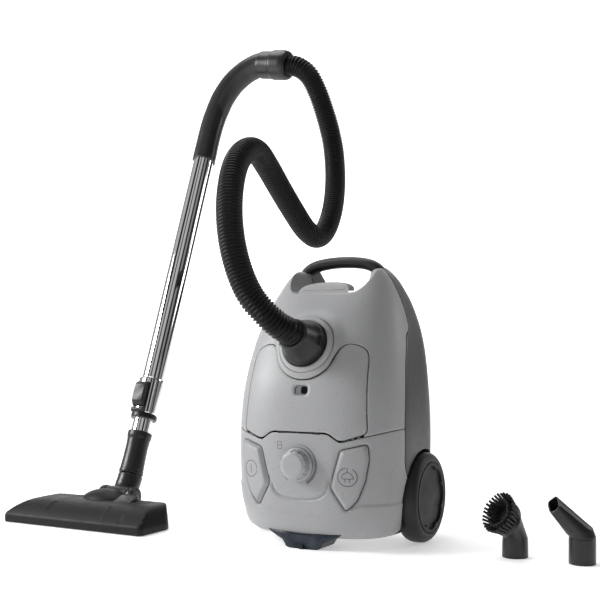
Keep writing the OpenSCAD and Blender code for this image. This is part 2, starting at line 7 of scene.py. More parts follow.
import bmesh
import bpy
import numpy as np
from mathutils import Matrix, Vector


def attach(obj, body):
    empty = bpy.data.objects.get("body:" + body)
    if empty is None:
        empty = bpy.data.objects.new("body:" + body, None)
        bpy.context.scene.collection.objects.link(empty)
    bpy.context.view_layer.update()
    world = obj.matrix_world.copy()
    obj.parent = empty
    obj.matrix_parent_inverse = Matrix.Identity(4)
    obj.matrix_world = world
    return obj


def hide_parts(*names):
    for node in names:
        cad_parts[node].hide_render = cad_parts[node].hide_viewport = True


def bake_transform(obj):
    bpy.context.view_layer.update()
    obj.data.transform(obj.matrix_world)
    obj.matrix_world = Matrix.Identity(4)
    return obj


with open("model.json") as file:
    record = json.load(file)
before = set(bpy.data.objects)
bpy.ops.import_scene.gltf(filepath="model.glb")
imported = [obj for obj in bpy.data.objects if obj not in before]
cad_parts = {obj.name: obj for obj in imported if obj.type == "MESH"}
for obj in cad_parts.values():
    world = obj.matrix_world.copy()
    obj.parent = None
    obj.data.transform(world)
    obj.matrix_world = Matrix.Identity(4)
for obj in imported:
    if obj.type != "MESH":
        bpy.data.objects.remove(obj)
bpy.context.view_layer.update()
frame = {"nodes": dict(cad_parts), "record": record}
NODES = frame["nodes"]


# ---- materials ----


def material(name, colour, rough=0.5, metal=0.0, speckle=0.0, grain=0.0, grain_size=900.0, coat=0.0,
             wear=0.06, ribs=None, speckle_dark=0.35, spec=0.5):
    """A principled finish with uneven roughness, fine grain and, if asked, flecks or ribs, all procedural."""
    m = bpy.data.materials.new(name)
    m.use_nodes = True
    n, l = m.node_tree.nodes, m.node_tree.links
    b = n["Principled BSDF"]
    b.inputs["Metallic"].default_value = metal
    b.inputs["Coat Weight"].default_value = coat
    b.inputs["Coat Roughness"].default_value = 0.12
    b.inputs["Specular IOR Level"].default_value = spec
    tc = n.new("ShaderNodeTexCoord")

    def noise(scale, detail=2.0):
        t = n.new("ShaderNodeTexNoise")
        t.inputs["Scale"].default_value = scale
        t.inputs["Detail"].default_value = detail
        l.new(tc.outputs["Object"], t.inputs["Vector"])
        return t.outputs["Fac"]

    def ramp(src, a, b_, lo, hi):
        r = n.new("ShaderNodeMapRange")
        r.inputs["From Min"].default_value = a
        r.inputs["From Max"].default_value = b_
        r.inputs["To Min"].default_value = lo
        r.inputs["To Max"].default_value = hi
        l.new(src, r.inputs["Value"])
        return r.outputs["Result"]

    def mix(fac, c1, c2):
        x = n.new("ShaderNodeMix")
        x.data_type = "RGBA"
        for s, c in (("A", c1), ("B", c2)):
            sock = [i for i in x.inputs if i.name == s and i.type == "RGBA"][0]
            if isinstance(c, tuple):
                sock.default_value = (*c, 1)
            else:
                l.new(c, sock)
        l.new(fac, [i for i in x.inputs if i.name == "Factor" and i.type == "VALUE"][0])
        return [o for o in x.outputs if o.type == "RGBA"][0]

    c = np.array(colour)
    col = mix(ramp(noise(14, 4), 0.35, 0.65, 0, 1), tuple(c * (1 - wear)),
              tuple(np.minimum(c * (1 + wear), 1)))
    if speckle:
        v = n.new("ShaderNodeTexVoronoi")
        v.inputs["Scale"].default_value = 420
        l.new(tc.outputs["Object"], v.inputs["Vector"])
        pick = n.new("ShaderNodeSeparateColor")
        l.new(v.outputs["Color"], pick.inputs["Color"])
        for channel, lo, hi, share, tone in (("Red", 0.90, 0.92, speckle, c * speckle_dark),
                                             ("Green", 0.93, 0.95, speckle * 0.7, np.minimum(c * 1.5, 1))):
            fleck = n.new("ShaderNodeMath")
            fleck.operation = "MULTIPLY"
            l.new(ramp(v.outputs["Distance"], 0.28, 0.18, 0, 1), fleck.inputs[0])
            l.new(ramp(pick.outputs[channel], lo, hi, 0, share), fleck.inputs[1])
            col = mix(fleck.outputs[0], col, tuple(tone))
    l.new(col, b.inputs["Base Color"])
    uneven = ramp(noise(60, 5), 0.3, 0.7, max(rough - wear * 0.8, 0.02), min(rough + wear * 0.8, 1))
    l.new(uneven, b.inputs["Roughness"])
    bump = n.new("ShaderNodeBump")
    bump.inputs["Distance"].default_value = 0.0004
    height = noise(grain_size, 1.0)
    strength = grain
    if ribs:
        w = n.new("ShaderNodeTexWave")
        w.bands_direction = ribs[0]
        w.inputs["Scale"].default_value = ribs[1]
        l.new(tc.outputs["Object"], w.inputs["Vector"])
        height = w.outputs["Fac"]
        strength = ribs[2]
    bump.inputs["Strength"].default_value = strength
    l.new(height, bump.inputs["Height"])
    l.new(bump.outputs["Normal"], b.inputs["Normal"])
    return m


GREY = material("grey speckled plastic", (0.30, 0.302, 0.308), rough=0.46, speckle=0.8, grain=0.10, wear=0.02)
GREY_MARK = material("grey marking", (0.115, 0.117, 0.121), rough=0.5, grain=0.05)
SHELL = material("dark shell plastic", (0.062, 0.063, 0.0655), rough=0.42, grain=0.10, speckle=0.35,
                 speckle_dark=2.2, spec=0.4)
DARK = material("charcoal plastic", (0.0125, 0.0128, 0.0135), rough=0.34, grain=0.10, spec=0.38)
INSERT = material("handle insert", (0.026, 0.0265, 0.028), rough=0.42, grain=0.15, spec=0.4)
HOSE = material("hose plastic", (0.0035, 0.0035, 0.0038), rough=0.36, grain=0.04, spec=0.16)
GRIP = material("ribbed grip", (0.006, 0.006, 0.0065), rough=0.42, spec=0.35, ribs=("DIAGONAL", 230, 0.5))
TYRE = material("tyre rubber", (0.011, 0.011, 0.0115), rough=0.5, grain=0.2, spec=0.35)
SOOT = material("satin black plastic", (0.0105, 0.0108, 0.0115), rough=0.5, grain=0.10, spec=0.16)
HUB = material("hub plastic", (0.0085, 0.0088, 0.0094), rough=0.45, grain=0.12, spec=0.12)
BLACK = material("black plastic", (0.004, 0.004, 0.0045), rough=0.36, grain=0.06, spec=0.35)
NAVY = material("navy plastic", (0.010, 0.016, 0.027), rough=0.36, grain=0.08, spec=0.4)
CHROME = material("chrome", (0.86, 0.865, 0.87), rough=0.045, metal=1.0, grain=0.004, wear=0.015)
STEEL = material("steel", (0.5, 0.51, 0.53), rough=0.3, metal=1.0, grain=0.05)
PAPER = material("paper", (0.72, 0.70, 0.64), rough=0.9, grain=0.5, grain_size=300)
CARD = material("card", (0.55, 0.45, 0.31), rough=0.85, grain=0.3, grain_size=500)
BOARD = material("circuit board", (0.02, 0.11, 0.05), rough=0.4, grain=0.1)
WINDOW = material("window", (0.006, 0.007, 0.009), rough=0.12, coat=0.6)
BRISTLE = material("bristles", (0.007, 0.007, 0.007), rough=0.6, ribs=("X", 600, 0.6))
# the finish of each CAD slot, for the nodes that stay as they are
FINISHES = {"grey_plastic": GREY, "dark_plastic": DARK, "black_plastic": BLACK, "navy_plastic": NAVY,
            "tyre": TYRE,
            "rubber": BLACK, "chrome": CHROME, "steel": STEEL, "paper": PAPER, "card": CARD, "board": BOARD,
            "window": WINDOW, "bristles": BRISTLE}
# shown black whatever their slot; for the steel hinge pin and latch spring the black is painted shade, so they
# sink into the dark of the seam
DARKENED = ("lid_hinge_pin", "latch_spring", "lid_seal", "nozzle_base")

# ---- helpers ----
names = {}


def mesh(name, verts, faces, mat, body=None, smooth=True, angle=40, stands_for=()):
    """A piece from vertices in millimetres, with its finish and the body it rides."""
    name = name.replace(" ", "_")
    names[name] = names.get(name, 0) + 1
    name += f"_{names[name]}" if names[name] > 1 else ""
    me = bpy.data.meshes.new(name)
    me.from_pydata([tuple(p) for p in (np.array(verts, float) / 1000.0)], [], [tuple(f) for f in faces])
    me.validate()
    me.update()
    ob = bpy.data.objects.new(name, me)
    bpy.context.scene.collection.objects.link(ob)
    me.materials.append(mat)
    if smooth:
        shade(ob, angle)
    if stands_for:
        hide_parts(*stands_for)
    if body:
        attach(ob, body)
    return ob


def shade(ob, angle=40):
    """Smooth faces, with the edges over the angle left sharp."""
    me = ob.data
    me.polygons.foreach_set("use_smooth", [True] * len(me.polygons))
    me.set_sharp_from_angle(angle=math.radians(angle))


def strips(rows, sides, closed=True, flip=False):
    """Quads between rows of points, closed round each row or open, with the other side out if flipped."""
    quads = [(j * sides + i, j * sides + (i + 1) % sides, (j + 1) * sides + (i + 1) % sides,
              (j + 1) * sides + i)
             for j in range(rows - 1) for i in range(sides if closed else sides - 1)]
    return [(a, d, c, b) for a, b, c, d in quads] if flip else quads


def end_caps(rows, sides):
    """Faces that close the first and the last row."""
    return [list(range(sides))[::-1], [(rows - 1) * sides + i for i in range(sides)]]


def rotate_to(axis):
    """The axis' own direction and two across it."""
    a = np.array(axis, float) / np.linalg.norm(axis)
    u = np.cross([0, 0, 1.0] if abs(a[2]) < 0.9 else [1.0, 0, 0], a)
    u /= np.linalg.norm(u)
    return a, u, np.cross(a, u)


def lathe(name, profile, centre, axis, mat, body, sides=96, **kw):
    """A turned piece: profile is (radius, distance along the axis)."""
    a, u, v = rotate_to(axis)
    c = np.array(centre, float)
    verts = []
    for r, h in profile:
        for i in range(sides):
            t = 2 * math.pi * i / sides
            verts.append(c + a * h + r * (math.cos(t) * u + math.sin(t) * v))
    rows = len(profile)
    faces = strips(rows, sides)
    faces += [cap for cap, (r, _) in zip(end_caps(rows, sides), (profile[0], profile[-1])) if r > 1e-6]
    return mesh(name, verts, faces, mat, body, **kw)


def rounded(profile, r=1.0, steps=3):
    """The profile with each inner corner rounded."""
    out = [np.array(profile[0], float)]
    for i in range(1, len(profile) - 1):
        a, b, c = (np.array(p, float) for p in profile[i - 1:i + 2])
        d1, d2 = np.linalg.norm(a - b), np.linalg.norm(c - b)
        k = min(r, d1 * 0.45, d2 * 0.45)
        p, q = b + (a - b) / d1 * k, b + (c - b) / d2 * k
        for s in range(steps + 1):
            t = s / steps
            out.append((1 - t) ** 2 * p + 2 * t * (1 - t) * b + t * t * q)
    out.append(np.array(profile[-1], float))
    return [tuple(p) for p in out]


def route(points, step):
    """Even points on a smooth curve through the given ones, and their directions."""
    p = np.array(points, float)
    q = np.vstack([2 * p[0] - p[1], p, 2 * p[-1] - p[-2]])
    fine = []
    for i in range(1, len(q) - 2):
        p0, p1, p2, p3 = q[i - 1:i + 3]
        for t in np.arange(0, 1, 1 / 24):
            fine.append(0.5 * (2 * p1 + (p2 - p0) * t + (2 * p0 - 5 * p1 + 4 * p2 - p3) * t * t
                               + (3 * p1 - p0 - 3 * p2 + p3) * t ** 3))
    fine.append(q[-2])
    fine = np.array(fine)
    s = np.concatenate([[0], np.cumsum(np.linalg.norm(np.diff(fine, axis=0), axis=1))])
    n = max(2, int(round(s[-1] / step)))
    at = np.linspace(0, s[-1], n + 1)
    pts = np.column_stack([np.interp(at, s, fine[:, k]) for k in range(3)])
    tan = np.gradient(pts, axis=0)
    return pts, tan / np.linalg.norm(tan, axis=1)[:, None], at


def frames(tan, first):
    """Sideways directions carried along a route without twist."""
    side = []
    w = np.array(first, float)
    for t in tan:
        w = w - np.dot(w, t) * t
        w /= np.linalg.norm(w)
        side.append(w.copy())
    return np.array(side)


def tube(pts, side, tan, radius, sides):
    """Vertices and faces of a round skin whose radius varies along the route."""
    a = np.arange(sides) * 2 * math.pi / sides
    up = np.cross(tan, side)
    r = np.asarray(radius)
    if r.ndim == 1:
        r = r[:, None] * np.ones(sides)
    verts = pts[:, None, :] + r[:, :, None] * (np.cos(a)[None, :, None] * side[:, None, :]
                                               + np.sin(a)[None, :, None] * up[:, None, :])
    return verts.reshape(-1, 3), strips(len(pts), sides)


# ---- housing: one smooth form, from which every moulding is taken ----

LEVELS = np.array([[18, 110, -24, 141], [26, 119, -34, 148], [44, 125, -40, 152], [80, 130, -44, 155],
                   [125, 132, -45, 156], [170, 132, -44, 156], [230, 128, -36, 157], [285, 120.5, -17, 157],
                   [325, 110, 2, 154], [365, 94, 28, 143], [400, 70, 56, 123], [421, 30, 86, 104]], float)
SIDE_SEAM = [[40, 5], [40, 96], [28, 118], [28, 175], [35, 215], [45, 258], [66, 303], [81, 309], [86, 330],
             [88, 372], [88, 440]]
LID_SEAM = [[44.5, 164], [62, 152], [135, 171]]
BUTTON = [[99, 151], [63, 142], [48.5, 91], [70, 57], [86, 74], [96, 100], [101, 130]]
AXLE = (97, 66)
ARCH_R = 70      # radius of the wheel arch
CUP_X = 102.5    # inner end of the wheel arch
Z0, Z1 = 18.0, 404.0
INLET = np.array([0, -17, 286.0])
RISE = math.radians(20)
INLET_AXIS = np.array([0, -math.cos(RISE), math.sin(RISE)])


def column(z, k):
    """Half width (1), front (2) or back (3) of the housing at a height, on a smooth curve through LEVELS."""
    z = np.clip(z, LEVELS[0, 0], LEVELS[-1, 0])
    zs, v = LEVELS[:, 0], LEVELS[:, k]
    m = np.empty(len(zs))
    m[1:-1] = (v[2:] - v[:-2]) / (zs[2:] - zs[:-2])
    m[0] = (v[1] - v[0]) / (zs[1] - zs[0])
    m[-1] = (v[-1] - v[-2]) / (zs[-1] - zs[-2])
    i = np.clip(np.searchsorted(zs, z, side="left") - 1, 0, len(zs) - 2)
    h = zs[i + 1] - zs[i]
    t = (z - zs[i]) / h
    return ((2 * t ** 3 - 3 * t * t + 1) * v[i] + (t ** 3 - 2 * t * t + t) * h * m[i]
            + (3 * t * t - 2 * t ** 3) * v[i + 1] + (t ** 3 - t * t) * h * m[i + 1])


def unit_ring():
    """The section's outline of unit half width and depth, even along its length, from its right side
    round the front."""
    a = np.linspace(0, -2 * math.pi, 8001)
    c, s = np.cos(a), np.sin(a)
    p = np.where(s < 0, 2 / 2.8, 2 / 6)
    x = np.sign(c) * np.abs(c) ** p
    y = np.sign(s) * np.abs(s) ** p
    length = np.concatenate([[0], np.cumsum(np.hypot(np.diff(x) * 130, np.diff(y) * 100))])
    t = length / length[-1]
    g = np.linspace(0, 1, 4001)
    return g, np.interp(g, t, x), np.interp(g, t, y)


RING_T, RING_X, RING_Y = unit_ring()


def surface(t, z):
    """Points of the housing at the share t of the way round it, and at height z."""
    w, f, b = column(z, 1), column(z, 2), column(z, 3)
    t = np.mod(t, 1.0)
    x = w * np.interp(t, RING_T, RING_X)
    y = (f + b) / 2 + (b - f) / 2 * np.interp(t, RING_T, RING_Y)
    return np.stack([x, y, z], -1)


def front_y(x, z):
    """Where the housing's front is, at x and z."""
    w, f, b = column(z, 1), column(z, 2), column(z, 3)
    return (f + b) / 2 - (b - f) / 2 * np.maximum(1 - np.abs(x / w) ** 2.8, 0) ** (1 / 2.8)


def sd_poly(px, py, poly):
    """Signed distance to a polygon, negative inside."""
    p = np.array(poly, float)
    q = np.roll(p, -1, 0)
    d = np.full(px.shape, 1e9)
    inside = np.zeros(px.shape, bool)
    for (x0, y0), (x1, y1) in zip(p, q):
        ex, ey = x1 - x0, y1 - y0
        wx, wy = px - x0, py - y0
        t = np.clip((wx * ex + wy * ey) / (ex * ex + ey * ey), 0, 1)
        d = np.minimum(d, np.hypot(wx - ex * t, wy - ey * t))
        cross = ((y0 > py) != (y1 > py)) & (px < (x1 - x0) * (py - y0) / ((y1 - y0) or 1e-9) + x0)
        inside ^= cross
    return np.where(inside, -d, d)


def sd_line(px, py, line):
    """Distance to an open line."""
    p = np.array(line, float)
    d = np.full(px.shape, 1e9)
    for (x0, y0), (x1, y1) in zip(p[:-1], p[1:]):
        ex, ey = x1 - x0, y1 - y0
        t = np.clip(((px - x0) * ex + (py - y0) * ey) / (ex * ex + ey * ey), 0, 1)
        d = np.minimum(d, np.hypot(px - x0 - ex * t, py - y0 - ey * t))
    return d


def round_poly(poly, r=4.0, steps=5):
    """The polygon with its corners rounded."""
    out = []
    n = len(poly)
    for i in range(n):
        a, b, c = (np.array(poly[k % n], float) for k in (i - 1, i, i + 1))
        d1, d2 = np.linalg.norm(a - b), np.linalg.norm(c - b)
        k = min(r, d1 * 0.48, d2 * 0.48)
        p, q = b + (a - b) / d1 * k, b + (c - b) / d2 * k
        for s in range(steps + 1):
            t = s / steps
            out.append(((1 - t) ** 2 * p + 2 * t * (1 - t) * b + t * t * q).tolist())
    return out


def both(line):
    """The line with its mirror image on the left."""
    return [[-x, z] for x, z in reversed(line)] + line


def step(v, a, b):
    """A smooth step from 0 at a to 1 at b."""
    t = np.clip((v - a) / (b - a), 0, 1)
    return t * t * (3 - 2 * t)


FRONT_ZONE = round_poly([[-300, 460], [-300, -20]] + SIDE_SEAM, 9)
LID_ZONE = round_poly(both(LID_SEAM) + [[300, 218], [300, 600], [-300, 600], [-300, 218]], 6)
GAP = round_poly(both([[37.5, 367], [45, 377], [51, 398], [57, 430]]), 3)
SCOOP = round_poly(both([[50, 363.2], [60, 371], [66, 383], [68.5, 395], [70, 430]]), 6)
ARC = [[50 * math.sin(math.radians(a)), 288 - 50 * math.cos(math.radians(a))] for a in range(-52, 53, 4)]
P_RIGHT = [[46, 272], [52, 284], [62, 289], [76, 287], [88, 280], [92, 268], [98, 165], [62, 153.5],
           [45, 165.5]]
PANEL = round_poly(ARC + P_RIGHT + [[-x, z] for x, z in reversed(P_RIGHT)], 7)
CONSOLE = round_poly([[0, 70]] + both([[43, 174], [67, 160], [59.5, 150], [57, 143], [44, 92], [41, 81],
                                       [30, 73.5]]), 3)
BUTTONS = [round_poly([[s * x, z] for x, z in BUTTON], 5) for s in (-1, 1)]
GROOVE = [[-48, 100], [-44, 90], [-40, 81], [-30, 74], [-14, 71], [0, 70],
          [14, 71], [30, 74], [40, 81], [44, 90], [48, 100]]
LIP = [[-140, 96], [-104, 80], [-66, 57], [-30, 50], [0, 48.5], [30, 50], [66, 57], [90, 66]]
WINDOW_CUT = round_poly([[-11, 217], [11, 217], [11, 231], [-11, 231]], 6.5)


def distances(p):
    """Signed distances of points on the housing to its seams and edges."""
    x, y, z = p[..., 0], p[..., 1], p[..., 2]
    back = np.where(y > 95, 200.0, 0.0)
    rel = p - INLET
    along = rel @ INLET_AXIS
    r = np.linalg.norm(rel - along[..., None] * INLET_AXIS, axis=-1) + back
    d = {"front": sd_poly(y, z, FRONT_ZONE), "lid": sd_poly(x, z, LID_ZONE),
         "gap": np.minimum(sd_poly(x, z, GAP), Z1 - z), "scoop": np.minimum(sd_poly(x, z, SCOOP), Z1 - z),
         "panel": sd_poly(x, z, PANEL) + back, "console": sd_poly(x, z, CONSOLE) + back,
         "button0": sd_poly(x, z, BUTTONS[0]) + back, "button1": sd_poly(x, z, BUTTONS[1]) + back,
         "arch": np.maximum(np.hypot(y - AXLE[0], z - AXLE[1]) - ARCH_R, CUP_X - np.abs(x)),
         "inlet": r, "groove": sd_line(x, z, GROOVE) + back,
         "lip": sd_line(x, z, LIP) + back, "window": sd_poly(x, z, WINDOW_CUT) + back,
         "grille": np.maximum(np.abs(x) - 46, np.abs(z - 94) - 28) + np.where(y < 100, 200, 0),
         "castor": np.hypot(x, z - 300) - 26 + np.where(y < 100, 200, 0),
         "cord": np.hypot(x + 60, z - 44) - 7.5 + np.where(y < 100, 200, 0)}
    lip_z = np.interp(x, [q[0] for q in LIP], [q[1] for q in LIP])
    d["below"] = z - lip_z
    return d


def relief(d, part):
    """How far the skin stands proud of the plain form, in mm."""
    out = np.zeros_like(d["front"])
    if part == "lid":
        out += 5.5 * (1 - step(d["inlet"], 42, 66)) ** 1.6
    if part in ("front_housing", "console_panel"):
        out -= 2.4 * np.exp(-(d["groove"] / 2.3) ** 2)
    if part == "front_housing":
        out += 1.3 * (1 - step(d["below"], -1.5, 2.5)) * (1 - step(np.abs(d["below"]), 14, 40))
        for b in ("button0", "button1"):
            out -= 2.0 * (1 - step(d[b], 0.0, 3.0))
    if part.startswith("button"):
        out += -1.2 + 4.6 * step(-d[part], 0.3, 6.0)
    if part == "lid_panel":
        out -= 0.8 * (1 - step(d["window"], 0, 4.0))
    return out


NA, NZ = 500, 250
GRID_T, GRID_Z = np.meshgrid(np.arange(NA) / NA, np.linspace(Z0, Z1, NZ + 1), indexing="ij")
GRID_D = distances(surface(GRID_T, GRID_Z))


SNAP = 0.62     # share of a cell that a corner moves to lie on a seam


def moulding(name, zone, body, mat, part, rim=2.6, stands_for=(), edge=0.45, trim=None):
    """One moulding: the cells of the housing's form inside its zone, with snapped, slightly eased edges
    and a rim."""
    dt, dz = 1 / NA, (Z1 - Z0) / NZ
    t, z = GRID_T.copy(), GRID_Z.copy()
    d = {k: v.copy() for k, v in GRID_D.items()}
    pick = np.abs(zone(d)) < 4.5
    tp, zp = t[pick], z[pick]
    t0, z0 = tp.copy(), zp.copy()
    for _ in range(3):
        s = zone(distances(surface(tp, zp)))
        e = 0.05
        gt = (zone(distances(surface(tp + e * dt, zp))) - s) / e
        gz = (zone(distances(surface(tp, zp + e * dz))) - s) / e
        g2 = gt ** 2 + gz ** 2 + 1e-9
        ct, cz = -s * gt / g2, -s * gz / g2
        near = (np.abs(ct) < SNAP) & (np.abs(cz) < SNAP)
        nt, nz = tp + np.where(near, ct, 0) * dt, zp + np.where(near, cz, 0) * dz
        keep = (np.abs(nt - t0) < SNAP * dt) & (np.abs(nz - z0) < SNAP * dz)
        tp, zp = np.where(keep, nt, tp), np.clip(np.where(keep, nz, zp), Z0, Z1)
    t[pick], z[pick] = tp, zp
    for k, v in distances(surface(tp, zp)).items():
        d[k][pick] = v
    p = surface(t, z)
    e = 1e-3
    a = surface(t + e * dt, z) - surface(t - e * dt, z)
    b = surface(t, np.clip(z + e, Z0, 421)) - surface(t, np.clip(z - e, Z0, 421))
    nrm = np.cross(b, a)
    nrm /= np.linalg.norm(nrm, axis=-1)[..., None] + 1e-12
    s = zone(d)
    mid = (s + np.roll(s, -1, 0))[:, :-1] + (s + np.roll(s, -1, 0))[:, 1:]
    inside = mid / 4 < 0
    q = p + nrm * relief(d, part)[..., None]
    on_edge = np.abs(s) < 0.25
    eased = np.where(np.abs(d["console"]) < 1.2, 0.05, edge)
    q = np.where(on_edge[..., None], q - nrm * eased[..., None], q)
    ids = (np.arange(NA)[:, None] * (NZ + 1) + np.arange(NZ + 1)[None, :])
    nxt = np.roll(ids, -1, 0)
    quads = np.stack([ids[:, :-1], ids[:, 1:], nxt[:, 1:], nxt[:, :-1]], -1)[inside]
    # rim along every free edge
    edges = {}
    for f in quads:
        for k in range(4):
            e1, e2 = int(f[k]), int(f[(k + 1) % 4])
            if (e2, e1) in edges:
                del edges[(e2, e1)]
            else:
                edges[(e1, e2)] = 1
    flat, nf = q.reshape(-1, 3), nrm.reshape(-1, 3)
    pf = p.reshape(-1, 3)
    used = np.unique(quads)
    index = {int(v): i for i, v in enumerate(used)}
    verts = [flat[v] for v in used]
    faces = [[index[int(v)] for v in f] for f in quads]
    inner = {}
    for e1, e2 in edges:
        for v in (e1, e2):
            if v not in inner:
                inner[v] = len(verts)
                target = trim(pf[v], nf[v]) if trim else None
                verts.append(flat[v] - nf[v] * rim if target is None else target)
        faces.append([index[e2], index[e1], inner[e1], inner[e2]])
    return mesh(name, verts, faces, mat, body, angle=46, stands_for=stands_for)


G = 0.6     # half of a seam


def lid_zone(d):
    s = np.maximum(d["front"] + G, d["lid"] + G)
    s = np.maximum(s, -d["scoop"])
    s = np.maximum(s, -(d["panel"] - 0.7))
    return np.maximum(s, -(d["inlet"] - 42.4))


def panel_zone(d):
    return np.maximum(np.maximum(d["panel"] + 0.55, -(d["inlet"] - 49)), -d["window"])


def housing_zone(d):
    s = np.maximum(d["front"] + G, -(d["lid"] - G))
    s = np.maximum(s, -(d["console"] - 0.06))
    for b in ("button0", "button1"):
        s = np.maximum(s, -(d[b] - 0.5))
    return np.maximum(s, -d["arch"])


def rear_zone(d):
    s = np.maximum(-d["front"] + 1.0, -d["gap"])
    for k in ("arch", "grille", "castor", "cord"):
        s = np.maximum(s, -d[k])
    return s


def gap_wall(y_end):
    """Takes the rim round the gap in the roof straight forward to y_end."""
    def trim(p, n):
        g = min(float(sd_poly(np.array([p[0]]), np.array([p[2]]), GAP)[0]), Z1 - p[2])
        return np.array([p[0], y_end, p[2]]) if abs(g) < 0.6 and p[2] > 360 else None
    return trim


def scoop_wall(p, n):
    """Takes the lid's rim round the scoop back to the rear shell."""
    g = min(float(sd_poly(np.array([p[0]]), np.array([p[2]]), SCOOP)[0]), Z1 - p[2])
    if abs(g) > 0.6 or p[2] < 355:
        return None
    rear = float(np.interp(p[2], [363, 367, 377, 398, 404], [38, 40, 46, 51, 52.5]))
    return np.array([math.copysign(min(abs(p[0]), rear), p[0]), 87.4, max(p[2], 366.6)])


moulding("lid shell", lid_zone, "lid", GREY, "lid", stands_for=("lid",), trim=scoop_wall)
moulding("bag door", panel_zone, "lid", GREY, "lid_panel", stands_for=("lid_panel",))
moulding("front shell", housing_zone, "housing", GREY, "front_housing", stands_for=("front_housing",))
moulding("console", lambda d: np.maximum(d["console"] + 0.04, -(d["lid"] - G)), "housing", GREY,
         "console_panel", stands_for=("console_panel",), edge=0.2)
moulding("power key", lambda d: d["button0"] + 0.5, "power_button", GREY, "button0", rim=5,
         stands_for=("power_button",))
moulding("rewind key", lambda d: d["button1"] + 0.5, "rewind_button", GREY, "button1", rim=5,
         stands_for=("rewind_button",))
moulding("rear shell", rear_zone, "housing", SHELL, "rear_shell", stands_for=("rear_shell",), rim=4,
         trim=gap_wall(88.4))

# ---- camera ----
cam = bpy.data.cameras.new("camera")
cam.lens = 60
cam.sensor_width = 36
cam.shift_y = 0.0833
co = bpy.data.objects.new("camera", cam)
bpy.context.scene.collection.objects.link(co)
co.location = (0.6796, -1.2651, 0.280)
co.rotation_euler = (math.radians(90), 0, math.radians(29))
bpy.context.scene.camera = co

# ---- on the housing ----


def on_front(x, z, out=0.15):
    """The point at x and z, this far out of the housing's front."""
    x0, z0 = np.array(x, float), np.array(z, float)
    n_ = np.array([float(front_y(x0 + 0.5, z0) - front_y(x0 - 0.5, z0)), -1.0,
                   float(front_y(x0, z0 + 0.5) - front_y(x0, z0 - 0.5))])
    return np.array([x, float(front_y(x0, z0)), z]) + n_ / np.linalg.norm(n_) * out


def ribbon(name, path, widths, mat, body, out=0.15):
    """A thin marking that lies on the front of the housing, along a path of (x, z)."""
    p = np.array(path, float)
    w = np.asarray(widths, float) * np.ones(len(p))
    tan = np.gradient(p, axis=0)
    tan /= np.linalg.norm(tan, axis=1)[:, None]
    nor = np.stack([-tan[:, 1], tan[:, 0]], -1)
    verts = []
    for k in (-0.5, -0.17, 0.17, 0.5):
        for i in range(len(p)):
            q = p[i] + nor[i] * w[i] * k
            verts.append(on_front(q[0], q[1], out if abs(k) < 0.4 else out - 0.05))
    return mesh(name, verts, strips(4, len(p), closed=False), mat, body)


def circle(cx, cz, r, a0=0, a1=360, n=48):
    return [(cx + r * math.cos(math.radians(a)), cz + r * math.sin(math.radians(a)))
            for a in np.linspace(a0, a1, n)]


def knob():
    """The speed knob with shallow scallops, on its thin base ring."""
    prof = [(23.8, 0.0), (23.8, 2.2), (23.0, 2.9), (21.6, 3.2), (21.2, 4.0), (20.7, 12.6), (20.0, 14.4),
            (18.4, 15.3),
            (17.4, 15.6), (16.4, 16.4), (15.6, 16.8), (12, 16.9), (0.01, 16.9)]
    sides = 144
    verts = []
    for r, h in prof:
        for i in range(sides):
            a = 2 * math.pi * i / sides
            k = 0.5 + 0.5 * math.cos(12 * a)
            rr = r - (1.1 * k ** 4 if 18.0 < r < 22 and h > 3.5 else 0)
            verts.append((rr * math.cos(a), -46.0 - h, 120 + rr * math.sin(a)))
    return mesh("control knob", verts, strips(len(prof), sides), GREY, "speed_knob", angle=35,
                stands_for=("speed_knob",))


ICON_OUT = 3.55     # the signs lie on the raised keys
knob()
grow = circle(0, 120, 28.2, 88, -62, 60)
ribbon("power scale", grow, np.linspace(0.5, 5.0, 60), GREY_MARK, "housing", 0.2)
ribbon("power scale thin", circle(0, 120, 28.2, 165, 235, 24), 1.0, GREY_MARK, "housing", 0.2)
for a, b in (((-33, 141), (-27, 141)), ((-33, 146), (-27, 146)), ((-33, 151), (-27, 151)),
             ((-33.5, 141), (-33.5, 151)), ((-26.5, 141), (-26.5, 151))):
    ribbon("small icon", [a, ((a[0] + b[0]) / 2, (a[1] + b[1]) / 2), b], 0.9, GREY_MARK, "housing", 0.15)
ribbon("power icon ring", circle(-79.5, 109.7, 11.5, 0, 352, 60), 1.3, GREY_MARK, "power_button", ICON_OUT)
ribbon("power icon bar", [(-79.5, 103.5), (-79.5, 109.7), (-79.5, 116)], 1.5, GREY_MARK, "power_button",
       ICON_OUT)
ribbon("rewind icon ring", circle(73.4, 106.3, 12.6, 100, 418, 60), 1.5, GREY_MARK, "rewind_button", ICON_OUT)
plug = [(66.5, 104), (66.5, 107), (69, 111), (73.4, 112.5), (77.8, 111), (80.3, 107), (80.3, 104),
        (66.5, 104)]
ribbon("rewind icon plug", route([(x, 0, z) for x, z in plug], 0.8)[0][:, [0, 2]], 1.2, GREY_MARK,
       "rewind_button", ICON_OUT)
for x in (70.5, 76.3):
    ribbon("rewind icon pin", [(x, 99), (x, 101), (x, 103.4)], 1.3, GREY_MARK, "rewind_button", ICON_OUT)
ribbon("rewind icon lead", [(73.4, 113), (73.4, 116), (73.4, 119)], 1.2, GREY_MARK, "rewind_button",
       ICON_OUT)

